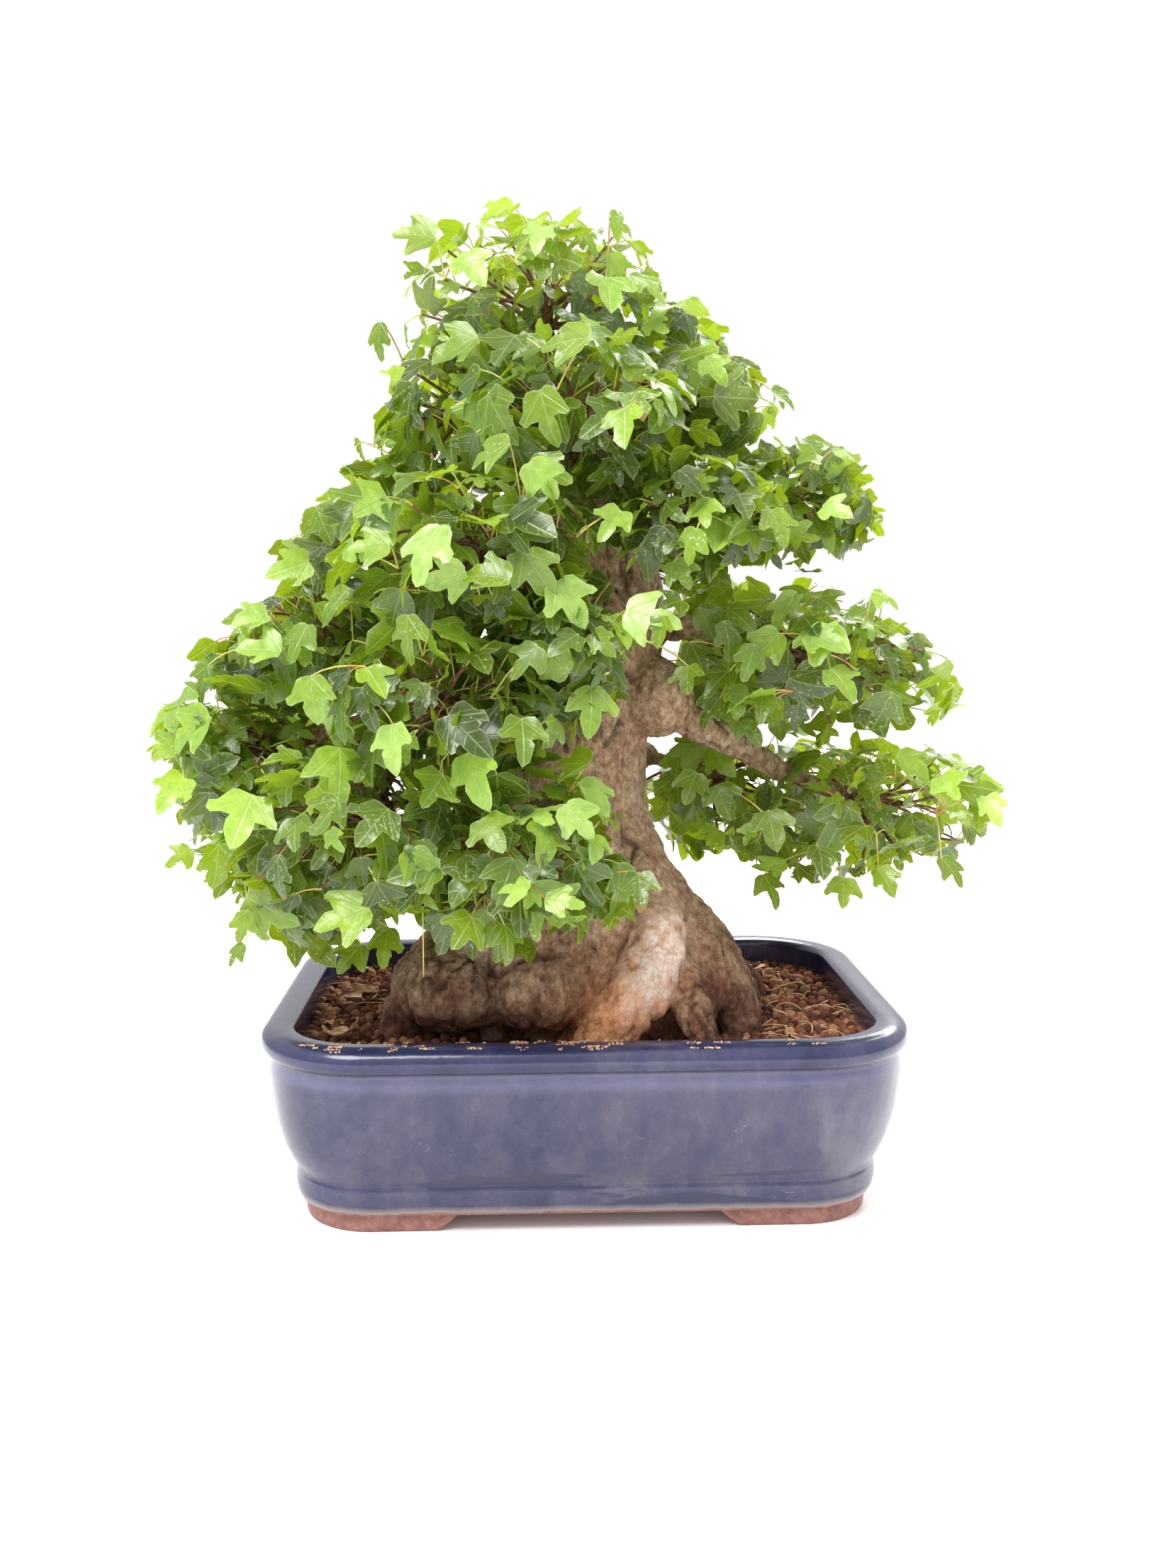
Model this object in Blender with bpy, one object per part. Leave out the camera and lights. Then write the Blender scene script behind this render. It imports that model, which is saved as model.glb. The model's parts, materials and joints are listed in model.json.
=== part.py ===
"""A trident maple bonsai with a massive flared trunk, standing in its glazed oblong pot.

Units are metres, +Z is up and -Y faces the viewer. The pieces are made around the middle of the pot
and moved at the end, so that the origin is on the surface that the feet stand on, under the middle
of the whole plant. One object is one real piece: the pot, two drainage screens,
the soil, the tree's wood with its roots and branches, the leafy sprays that the branches carry, and
the dry leaves that lie on the soil.
"""

import math
import random

import bmesh
import bpy
from mathutils import Matrix, Vector
from mathutils.bvhtree import BVHTree

# Driving dimensions
POT_LENGTH = 0.380
POT_DEPTH = 0.282
POT_HEIGHT = 0.113
RIM_CORNER_RADIUS = 0.066
RIM_WIDTH = 0.0205
FOOT_HEIGHT = 0.0098
FLOOR_LEVEL = 0.021
SOIL_LEVEL = 0.096
ROOT_BOTTOM = 0.070
ROOT_TOP = 0.103
GAP = 0.0003
LEAF_THICKNESS = 0.0008
PETIOLE_WIDTH = 0.0013
LEAF_MIN = 0.032
LEAF_MAX = 0.042
SEED = 46


def clear_scene():
    for old in list(bpy.data.objects):
        bpy.data.objects.remove(old, do_unlink=True)


def srgb(code):
    """Linear colour of a six-figure sRGB code."""
    channels = [int(code[i : i + 2], 16) / 255 for i in (0, 2, 4)]
    return [c / 12.92 if c <= 0.04045 else ((c + 0.055) / 1.055) ** 2.4 for c in channels] + [1.0]


def material(name, colour, roughness, metallic=0.0):
    mat = bpy.data.materials.new(name)
    mat.use_nodes = True
    shader = mat.node_tree.nodes["Principled BSDF"]
    shader.inputs["Base Color"].default_value = srgb(colour)
    shader.inputs["Roughness"].default_value = roughness
    shader.inputs["Metallic"].default_value = metallic
    mat.diffuse_color = srgb(colour)
    return mat


def add_object(name, points, faces, mat=None):
    """An object whose mesh has these points and faces, with every face turned outward."""
    mesh = bpy.data.meshes.new(name)
    mesh.from_pydata([tuple(p) for p in points], [], faces)
    shape = bmesh.new()
    shape.from_mesh(mesh)
    bmesh.ops.recalc_face_normals(shape, faces=shape.faces)
    shape.to_mesh(mesh)
    shape.free()
    obj = bpy.data.objects.new(name, mesh)
    bpy.context.collection.objects.link(obj)
    if mat:
        mesh.materials.append(mat)
    return obj


def loft(loops):
    """Points and faces of a closed body through loops of equal length, with a flat cap at each end."""
    count = len(loops[0])
    points = [p for loop in loops for p in loop]
    faces = [tuple(range(count))[::-1]]
    for row in range(len(loops) - 1):
        for i in range(count):
            a = row * count + i
            b = row * count + (i + 1) % count
            faces.append((a, b, b + count, a + count))
    faces.append(tuple(range((len(loops) - 1) * count, len(loops) * count)))
    return points, faces


def apply_modifiers(obj):
    """Gives the object the mesh that its modifiers make, and takes them off."""
    graph = bpy.context.evaluated_depsgraph_get()
    made = bpy.data.meshes.new_from_object(obj.evaluated_get(graph))
    obj.modifiers.clear()
    obj.data = made


def combine(obj, others, operation):
    """One Boolean of the object with a collection of the others, which are then removed."""
    group = bpy.data.collections.new(obj.name + "_operands")
    for other in others:
        group.objects.link(other)
    boolean = obj.modifiers.new("joined", "BOOLEAN")
    boolean.operation = operation
    boolean.operand_type = "COLLECTION"
    boolean.collection = group
    boolean.solver = "EXACT"
    apply_modifiers(obj)
    for other in others:
        bpy.data.objects.remove(other, do_unlink=True)
    bpy.data.collections.remove(group)


def smooth(obj, degrees):
    obj.data.shade_smooth()
    obj.data.set_sharp_from_angle(angle=math.radians(degrees))


def between(rows, z):
    """The numbers beside height z in rows of (height, numbers), blended between the two nearest."""
    if z <= rows[0][0]:
        return rows[0][1:]
    for low, high in zip(rows, rows[1:]):
        if z <= high[0]:
            t = (z - low[0]) / (high[0] - low[0])
            return [a + (b - a) * t for a, b in zip(low[1:], high[1:])]
    return rows[-1][1:]


# Pot
CORNER_STEPS = 5
POT_OUTSIDE = [
    (0.0240, FOOT_HEIGHT),
    (0.0196, FOOT_HEIGHT + 0.004),
    (0.0190, 0.0255),
    (0.0204, 0.0290),
    (0.0130, 0.0480),
    (0.0082, 0.0660),
    (0.0058, 0.0860),
    (0.0056, 0.0950),
    (0.0012, 0.0985),
    (0.0000, 0.1040),
    (0.0016, 0.1090),
    (0.0060, 0.1122),
    (0.0130, POT_HEIGHT),
    (RIM_WIDTH - 0.0015, 0.1118),
]
POT_INSIDE = [
    (RIM_WIDTH, 0.1095),
    (RIM_WIDTH, 0.0800),
    (0.0270, 0.0500),
    (0.0320, 0.0340),
    (0.0410, FLOOR_LEVEL),
]
FOOT_INSET = 0.0245
FOOT_DEPTH = 0.027
FOOT_REACH = 0.088
DRAIN_RADIUS = 0.011
DRAIN_PLACES = (-0.075, 0.075)


def rounded_outline(inset, z, steps=CORNER_STEPS):
    """The rim's outline moved in by inset: a rectangle with round corners, counterclockwise."""
    centre_x = POT_LENGTH / 2 - RIM_CORNER_RADIUS
    centre_y = POT_DEPTH / 2 - RIM_CORNER_RADIUS
    radius = RIM_CORNER_RADIUS - inset
    points = []
    for corner, (sx, sy) in enumerate(((1, 1), (-1, 1), (-1, -1), (1, -1))):
        for step in range(steps + 1):
            turn = math.radians(90 * (corner + step / steps))
            x = sx * centre_x + radius * math.cos(turn)
            y = sy * centre_y + radius * math.sin(turn)
            points.append((x, y, z))
    return points


def foot(corner):
    """A foot under one corner: a bent bar that follows the corner, its ends sloping up and out."""
    sx, sy = ((1, 1), (-1, 1), (-1, -1), (1, -1))[corner]
    centre_x = POT_LENGTH / 2 - RIM_CORNER_RADIUS
    centre_y = POT_DEPTH / 2 - RIM_CORNER_RADIUS
    loops = []
    for z, reach, inset in ((0.0, -0.004, 0.0012), (0.0035, -0.001, 0.0), (FOOT_HEIGHT + 0.003, 0.004, 0.0)):
        outer_radius = RIM_CORNER_RADIUS - FOOT_INSET - inset
        inner_radius = outer_radius - FOOT_DEPTH + 2 * inset
        straight = FOOT_REACH + reach - outer_radius
        loop = []
        for radius, order in ((outer_radius, 1), (inner_radius, -1)):
            side = [(radius, -straight)]
            turns = [math.radians(90 * step / CORNER_STEPS) for step in range(CORNER_STEPS + 1)]
            side += [(radius * math.cos(t), radius * math.sin(t)) for t in turns]
            side.append((-straight, radius))
            loop += side[::order]
        loops.append([(sx * (centre_x + x), sy * (centre_y + y), z) for x, y in loop])
    points, faces = loft(loops)
    return add_object("foot", points, faces)


def make_pot():
    rows = POT_OUTSIDE + POT_INSIDE
    points, faces = loft([rounded_outline(inset, z) for inset, z in rows])
    pot = add_object("pot", points, faces, material("blue_glaze", "4A5285", 0.28))
    combine(pot, [foot(corner) for corner in range(4)], "UNION")
    drains = []
    for x in DRAIN_PLACES:
        loops = []
        for z in (-0.01, FLOOR_LEVEL + 0.01):
            turns = [math.tau * i / 14 for i in range(14)]
            loops.append([(x + DRAIN_RADIUS * math.cos(t), DRAIN_RADIUS * math.sin(t), z) for t in turns])
        drains.append(add_object("drain", *loft(loops)))
    combine(pot, drains, "DIFFERENCE")
    smooth(pot, 40)
    return pot


# Drainage screens
SCREEN_SIZE = 0.038
SCREEN_THICKNESS = 0.001
SCREEN_CELLS = 2
SCREEN_BAR = 0.0035


def make_screen(name, x):
    """A square plastic net over a drain hole: a plate with rows of square openings."""
    low = FLOOR_LEVEL + GAP
    high = low + SCREEN_THICKNESS
    cell = (SCREEN_SIZE - SCREEN_BAR) / SCREEN_CELLS
    lines = [-SCREEN_SIZE / 2]
    for i in range(SCREEN_CELLS):
        lines.append(-SCREEN_SIZE / 2 + SCREEN_BAR + i * cell)
        lines.append(-SCREEN_SIZE / 2 + (i + 1) * cell)
    lines.append(SCREEN_SIZE / 2)
    count = len(lines)
    points = [(x + a, b, z) for z in (low, high) for b in lines for a in lines]
    layer = count * count
    solid = {(i, j) for i in range(count - 1) for j in range(count - 1) if not (i % 2 and j % 2)}
    faces = []
    for i, j in sorted(solid):
        a = j * count + i
        quad = (a, a + 1, a + 1 + count, a + count)
        faces.append(quad[::-1])
        faces.append(tuple(v + layer for v in quad))
        sides = (((0, -1), 0, 1), ((1, 0), 1, 2), ((0, 1), 2, 3), ((-1, 0), 3, 0))
        for (di, dj), first, second in sides:
            if (i + di, j + dj) not in solid:
                p, q = quad[first], quad[second]
                faces.append((p, q, q + layer, p + layer))
    screen = add_object(name, points, faces, material("black_net", "1E1F1E", 0.6))
    shape = bmesh.new()
    shape.from_mesh(screen.data)
    bmesh.ops.delete(shape, geom=[v for v in shape.verts if not v.link_faces], context="VERTS")
    bmesh.ops.dissolve_limit(shape, angle_limit=0.01, verts=shape.verts, edges=shape.edges)
    shape.to_mesh(screen.data)
    shape.free()
    return screen


# Trunk: height, middle x, middle y, radius, reach of the root lobes
TRUNK_SIDES = 32
TRUNK_ROWS = [
    (ROOT_BOTTOM, -0.008, -0.014, 0.070, 0.042),
    (ROOT_TOP, -0.008, -0.014, 0.070, 0.042),
    (0.1080, -0.008, -0.014, 0.074, 0.042),
    (0.1150, -0.008, -0.014, 0.077, 0.037),
    (0.1250, -0.008, -0.013, 0.077, 0.032),
    (0.1390, -0.007, -0.012, 0.075, 0.027),
    (0.1560, -0.006, -0.010, 0.072, 0.020),
    (0.1760, -0.012, -0.008, 0.066, 0.014),
    (0.2000, -0.019, -0.006, 0.061, 0.009),
    (0.2270, -0.022, -0.004, 0.057, 0.006),
    (0.2570, -0.017, -0.002, 0.053, 0.004),
    (0.2900, -0.008, 0.000, 0.049, 0.004),
    (0.3270, 0.002, 0.000, 0.045, 0.003),
    (0.3660, 0.008, 0.000, 0.040, 0.003),
    (0.4050, 0.006, 0.000, 0.033, 0.002),
    (0.4430, 0.000, 0.000, 0.026, 0.001),
    (0.4780, -0.008, 0.000, 0.018, 0.000),
    (0.4880, -0.010, 0.000, 0.011, 0.000),
]
# Root lobes: compass angle in degrees, half width, strength, turn in degrees per metre of height
ROOT_LOBES = [
    (-71, 15, 0.80, 260),
    (-37, 11, 0.85, 120),
    (-8, 11, 1.15, 60),
    (17, 8, 0.90, 0),
    (54, 14, 0.60, 0),
    (92, 15, 0.65, 0),
    (130, 13, 0.75, 0),
    (162, 11, 0.95, 0),
    (-160, 13, 1.15, 0),
    (-134, 10, 0.85, 0),
    (-108, 10, 0.62, -60),
]


def lobe(angle, z):
    """How far the root lobes stand out at a compass angle, from 0 to a little over 1."""
    total = 0.0
    for place, width, strength, turn in ROOT_LOBES:
        off = (angle - place - turn * max(0.0, z - ROOT_TOP) + 180) % 360 - 180
        total = max(total, strength * math.exp(-((off / width) ** 2) * 0.8))
    return total


def trunk_loop(z, extra=0.0):
    middle_x, middle_y, radius, reach = between(TRUNK_ROWS, z)
    loop = []
    for i in range(TRUNK_SIDES):
        turn = math.tau * i / TRUNK_SIDES
        r = radius + reach * lobe(math.degrees(turn), z) + extra
        loop.append((middle_x + r * math.cos(turn), middle_y + r * math.sin(turn), z))
    return loop


def tube(name, route, radii, sides, end_way=None):
    """A round bar along a route of points, with its own radius at each and its end square to end_way."""
    loops = []
    across = None
    for i, point in enumerate(route):
        ahead = route[min(i + 1, len(route) - 1)] - route[max(i - 1, 0)]
        if end_way and i == len(route) - 1:
            ahead = end_way.copy()
        ahead.normalize()
        if across is None:
            across = ahead.orthogonal().normalized()
        across = (across - ahead * across.dot(ahead)).normalized()
        other = ahead.cross(across)
        turns = [math.tau * k / sides for k in range(sides)]
        loops.append([point + (across * math.cos(t) + other * math.sin(t)) * radii[i] for t in turns])
    return add_object(name, *loft(loops))


def bend(start, control, end, count):
    """Points on the curve from start to end that leaves and arrives towards the control point."""
    points = []
    for i in range(count + 1):
        t = i / count
        points.append(start * (1 - t) ** 2 + control * 2 * t * (1 - t) + end * t * t)
    return points


# Limbs: the boughs that leave the trunk, as start, control and end points with the radius at each end
LIMBS = {
    "left": ((-0.020, -0.010, 0.268), (-0.070, -0.040, 0.300), (-0.128, -0.050, 0.286), 0.020, 0.0095),
    "right": ((0.005, -0.004, 0.312), (0.070, -0.006, 0.296), (0.128, 0.002, 0.247), 0.018, 0.0085),
    "right_mid": ((0.008, 0.010, 0.330), (0.055, 0.004, 0.345), (0.098, -0.002, 0.336), 0.014, 0.0080),
    "back": ((-0.010, 0.010, 0.232), (0.020, 0.070, 0.246), (0.052, 0.100, 0.250), 0.016, 0.0080),
    "left_back": ((-0.020, 0.005, 0.262), (-0.070, 0.040, 0.285), (-0.112, 0.058, 0.276), 0.015, 0.0080),
    "front": ((-0.020, -0.010, 0.262), (-0.052, -0.065, 0.282), (-0.058, -0.092, 0.268), 0.014, 0.0075),
}

# Sprays: middle of the foliage, its half sizes with the leaves, the point its branch leaves from,
# how far that branch arches up, and the share of leaves that it carries
SPRAYS = {
    "spray_apex": ((-0.018, 0.000, 0.540), (0.078, 0.070, 0.054), (-0.009, 0.0, 0.470), 0.000, 13),
    "spray_crown_left": ((-0.074, -0.014, 0.468), (0.064, 0.062, 0.052), (0.000, 0.0, 0.425), 0.012, 9),
    "spray_crown_right": ((0.062, 0.002, 0.480), (0.062, 0.062, 0.050), (0.000, 0.0, 0.425), 0.012, 10),
    "spray_crown_front": ((-0.006, -0.080, 0.456), (0.070, 0.054, 0.054), (0.000, 0.0, 0.410), 0.012, 10),
    "spray_crown_back": ((-0.006, 0.080, 0.456), (0.070, 0.052, 0.050), (0.000, 0.0, 0.410), 0.012, 9),
    "spray_shoulder_left": ((-0.128, -0.010, 0.400), (0.070, 0.068, 0.048), (0.000, 0.0, 0.366), 0.012, 10),
    "spray_shoulder_right": ((0.134, 0.006, 0.416), (0.068, 0.060, 0.040), (0.004, 0.0, 0.372), 0.012, 11),
    "spray_shoulder_front": ((-0.062, -0.116, 0.380), (0.074, 0.056, 0.050), (0.000, 0.0, 0.356), 0.012, 10),
    "spray_shoulder_near": ((0.060, -0.086, 0.398), (0.054, 0.046, 0.036), (0.008, 0.0, 0.384), 0.008, 9),
    "spray_shoulder_back": ((0.020, 0.118, 0.382), (0.086, 0.054, 0.046), (0.004, 0.0, 0.356), 0.012, 10),
    "spray_mid_left": ((-0.166, -0.048, 0.332), (0.066, 0.064, 0.044), (-0.085, -0.043, 0.292), 0.010, 9),
    "spray_mid_left_back": ((-0.140, 0.080, 0.330), (0.074, 0.060, 0.044), (-0.075, 0.040, 0.278), 0.010, 9),
    "spray_mid_front": ((-0.080, -0.132, 0.300), (0.070, 0.052, 0.046), (-0.046, -0.058, 0.274), 0.010, 9),
    "spray_mid_near": ((-0.004, -0.118, 0.334), (0.050, 0.040, 0.034), (0.000, -0.004, 0.320), 0.004, 8),
    "spray_mid_right": ((0.172, -0.014, 0.316), (0.074, 0.062, 0.042), (0.086, 0.000, 0.338), 0.000, 11),
    "spray_mid_right_back": ((0.126, 0.096, 0.322), (0.078, 0.056, 0.044), (0.050, 0.008, 0.342), 0.004, 9),
    "spray_low_left": ((-0.207, -0.050, 0.262), (0.064, 0.064, 0.046), (-0.112, -0.049, 0.290), 0.000, 11),
    "spray_low_left_near": ((-0.122, -0.122, 0.232), (0.072, 0.056, 0.048), (-0.100, -0.048, 0.290), 0.0, 10),
    "spray_low_left_hang": ((-0.180, -0.074, 0.182), (0.062, 0.052, 0.044), (-0.124, -0.050, 0.287), -0.014, 9),
    "spray_low_front": ((-0.042, -0.132, 0.216), (0.066, 0.048, 0.050), (-0.056, -0.084, 0.270), 0.000, 10),
    "spray_low_left_back": ((-0.186, 0.064, 0.252), (0.072, 0.064, 0.046), (-0.100, 0.056, 0.278), 0.000, 9),
    "spray_low_right": ((0.206, 0.000, 0.216), (0.072, 0.062, 0.040), (0.114, 0.000, 0.254), 0.000, 11),
    "spray_low_right_back": ((0.130, 0.100, 0.232), (0.080, 0.060, 0.042), (0.044, 0.096, 0.249), 0.000, 9),
    "spray_mid_back": ((0.012, 0.112, 0.312), (0.064, 0.046, 0.038), (0.000, 0.004, 0.298), 0.006, 8),
    "spray_low_back": ((-0.046, 0.136, 0.262), (0.080, 0.052, 0.048), (0.004, 0.062, 0.240), 0.004, 9),
}
CORE_INSET = (0.023, 0.021, 0.016)
CORE_SHARES = (1.0, 0.9, 0.8, 0.7)
CLEARANCE = 0.0005
# A leaf's stalk ends at this share of the core, its base lies outside this share of it, and its
# stalk may not fold back under the blade; a leaf this deep inside another spray is left out.
ROOT_SHARE = 0.45
CORE_MARGIN = 1.06
FOLDED_BACK = -0.15
BURIED = 0.78
OUTWARD_LEAN = 0.45
STEM_SHOWN = 0.008
BRANCH_TIP_RADIUS = 0.0042


def core_sizes(name):
    return [half - inset for half, inset in zip(SPRAYS[name][1], CORE_INSET)]


def spray_seat(name):
    """The control point of the spray's branch, the end of it, and the way it points there."""
    middle, _, start, rise, _ = SPRAYS[name]
    middle = Vector(middle)
    start = Vector(start)
    control = start.lerp(middle, 0.45) + Vector((0, 0, rise))
    ahead = (middle - control).normalized()
    core = core_sizes(name)
    reach = 1 / math.sqrt(sum((a / half) ** 2 for a, half in zip(ahead, core)))
    return start, control, middle - ahead * (reach + STEM_SHOWN), ahead


def make_trunk():
    points, faces = loft([trunk_loop(row[0]) for row in TRUNK_ROWS])
    trunk = add_object("trunk", points, faces, material("bark", "96765F", 0.85))
    wood = []
    for name, (start, control, end, thick, thin) in LIMBS.items():
        route = bend(Vector(start), Vector(control), Vector(end), 4)
        radii = [thick + (thin - thick) * i / 4 for i in range(5)]
        wood.append(tube("limb_" + name, route, radii, 6))
    for name in SPRAYS:
        start, control, end, ahead = spray_seat(name)
        steps = 2
        route = bend(start, control, end, steps)
        base = BRANCH_TIP_RADIUS + 0.035 * (end - start).length
        radii = [base + (BRANCH_TIP_RADIUS - base) * i / steps for i in range(steps + 1)]
        wood.append(tube("branch_" + name, route, radii, 4, ahead))
    combine(trunk, wood, "UNION")
    smooth(trunk, 50)
    return trunk


# Soil
SOIL_RINGS = 7
SOIL_STRAIGHT = 3
GRANULE_RELIEF = 0.0020
ROOT_GAP = 0.0006


def soil_outline(inset, z):
    """The pot's inner outline, with more points on its straight sides."""
    corners = rounded_outline(inset, z)
    points = []
    for i, point in enumerate(corners):
        points.append(point)
        if i % (CORNER_STEPS + 1) == CORNER_STEPS:
            after = corners[(i + 1) % len(corners)]
            for k in range(1, SOIL_STRAIGHT + 1):
                t = k / (SOIL_STRAIGHT + 1)
                points.append(tuple(a + (b - a) * t for a, b in zip(point, after)))
    return points


def granules(x, y):
    """Height of the soil's lumps over its level, from waves that cross each other."""
    coarse = math.sin(x * 190 + 2 * math.sin(y * 160)) * math.cos(y * 215 + 1.3)
    fine = math.sin(x * 530 + y * 260) * math.sin(y * 480 - x * 310 + 0.7)
    mound = 0.0025 * math.exp(-((x + 0.008) ** 2 + (y + 0.01) ** 2) / 0.018)
    return mound + GRANULE_RELIEF * (0.6 * coarse + 0.6 * fine)


def make_soil():
    low = FLOOR_LEVEL + 2 * GAP + SCREEN_THICKNESS
    side = GAP * 1.3
    rows = [(inset + side, z + GAP) for inset, z in POT_INSIDE[1:-1]][::-1]
    slope = (POT_INSIDE[-1][0] - POT_INSIDE[-2][0]) / (POT_INSIDE[-2][1] - POT_INSIDE[-1][1])
    loops = [soil_outline(POT_INSIDE[-1][0] - (low - FLOOR_LEVEL) * slope + side * 2, low)]
    loops += [soil_outline(inset, z) for inset, z in rows]
    edge = soil_outline(RIM_WIDTH + side, SOIL_LEVEL)
    for ring in range(SOIL_RINGS):
        share = 1 - (ring / SOIL_RINGS) ** 1.15
        loop = []
        for i, (x, y, _) in enumerate(edge):
            wobble = 1 + (0.03 * math.sin(i * 2.4 + ring * 1.9) if ring else 0)
            px = x * share * wobble
            py = y * share * wobble
            lift = granules(px, py) * min(1.0, 0.5 + ring)
            loop.append((px, py, SOIL_LEVEL + lift))
        loops.append(loop)
    points, faces = loft(loops)
    soil = add_object("soil", points, faces, material("clay_granules", "5E3C2E", 0.95))
    root_outline = trunk_loop(ROOT_BOTTOM, ROOT_GAP)
    hollow = [[(x, y, z) for x, y, _ in root_outline] for z in (ROOT_BOTTOM - GAP, SOIL_LEVEL + 0.02)]
    combine(soil, [add_object("hollow", *loft(hollow))], "DIFFERENCE")
    soil.data.shade_flat()
    return soil


# Leaves: half outline of a blade of length 1, from the base to the tip, as (across, along, lift)
BLADE_HALF = [
    (0.370, 0.170, 0.045),
    (0.530, 0.620, -0.045),
    (0.240, 0.665, 0.020),
]
BLADE_TIP = (0.0, 1.0, -0.090)


def leaf_frame(facing, tip):
    """Axes of a blade: across, along and the side it faces."""
    facing = facing.normalized()
    along = (tip - facing * tip.dot(facing)).normalized()
    return along.cross(facing).normalized(), along, facing


def leaf_shape(base, across, along, facing, length, root, droop):
    """Points and faces of a three-lobed blade with its stalk, whose far end is at root."""
    half_stalk = PETIOLE_WIDTH / 2
    right = [(half_stalk / length, 0.0, 0.0)] + BLADE_HALF
    left = [(-x, y, z) for x, y, z in right[::-1]]
    outline = right + [BLADE_TIP] + left
    top = []
    for x, y, lift in outline:
        height = (lift - droop * y * y) * length
        top.append(base + across * (x * length) + along * (y * length) + facing * height)
    bottom = [p - facing * LEAF_THICKNESS for p in top]
    count = len(top)
    cut = ((0, 1, 3), (1, 2, 3), (0, 3, 4), (0, 4, 8), (8, 4, 5), (8, 5, 7), (7, 5, 6))
    faces = [face for face in cut] + [tuple(v + count for v in face[::-1]) for face in cut]
    for i in range(count - 1):
        faces.append((i + 1, i, i + count))
        faces.append((i + 1, i + count, i + 1 + count))
    stalk = (root - base).normalized()
    side = stalk.cross(across).normalized() * half_stalk
    wide = side.cross(stalk).normalized() * half_stalk
    ends = [root + wide + side, root - wide + side, root - side]
    points = top + bottom + ends
    right_end, left_end, low_end = 2 * count, 2 * count + 1, 2 * count + 2
    faces += [(0, 8, left_end), (0, left_end, right_end)]
    faces += [(8, 8 + count, low_end), (8, low_end, left_end), (8 + count, count, low_end)]
    faces += [(count, 0, right_end), (count, right_end, low_end)]
    faces.append((right_end, left_end, low_end))
    return points, faces


def tree_of(points, faces, margin=0.0):
    return BVHTree.FromPolygons([Vector(p) for p in points], faces, epsilon=margin)


def tree_of_object(obj, margin=0.0):
    mesh = obj.data
    return tree_of([v.co for v in mesh.vertices], [tuple(p.vertices) for p in mesh.polygons], margin)


def core_object(name, middle, sizes, draw):
    """The dense inside of a spray: an uneven ball that its leaves stand out of."""
    shape = bmesh.new()
    bmesh.ops.create_uvsphere(shape, u_segments=6, v_segments=4, radius=1)
    turn = Matrix.Rotation(draw.uniform(0, 6), 3, "Z")
    for vertex in shape.verts:
        place = turn @ vertex.co * draw.uniform(0.70, 1.0)
        vertex.co = middle + Vector([a * half for a, half in zip(place, sizes)])
    bmesh.ops.triangulate(shape, faces=shape.faces)
    mesh = bpy.data.meshes.new(name)
    shape.to_mesh(mesh)
    shape.free()
    obj = bpy.data.objects.new(name, mesh)
    bpy.context.collection.objects.link(obj)
    return obj


def ellipsoid_share(point, middle, halves):
    """0 at the middle of an ellipsoid and 1 on its surface."""
    return math.sqrt(sum(((p - m) / h) ** 2 for p, m, h in zip(point, middle, halves)))


def directions(count, draw):
    """Directions spread evenly over a ball by the golden angle, in an order drawn at random."""
    start = draw.uniform(0, math.tau)
    golden = math.pi * (3 - math.sqrt(5))
    found = []
    for i in range(count):
        height = 1 - 2 * (i + 0.5) / count
        ring = math.sqrt(1 - height * height)
        turn = start + golden * i
        found.append(Vector((ring * math.cos(turn), ring * math.sin(turn), height)))
    draw.shuffle(found)
    return found


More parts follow.
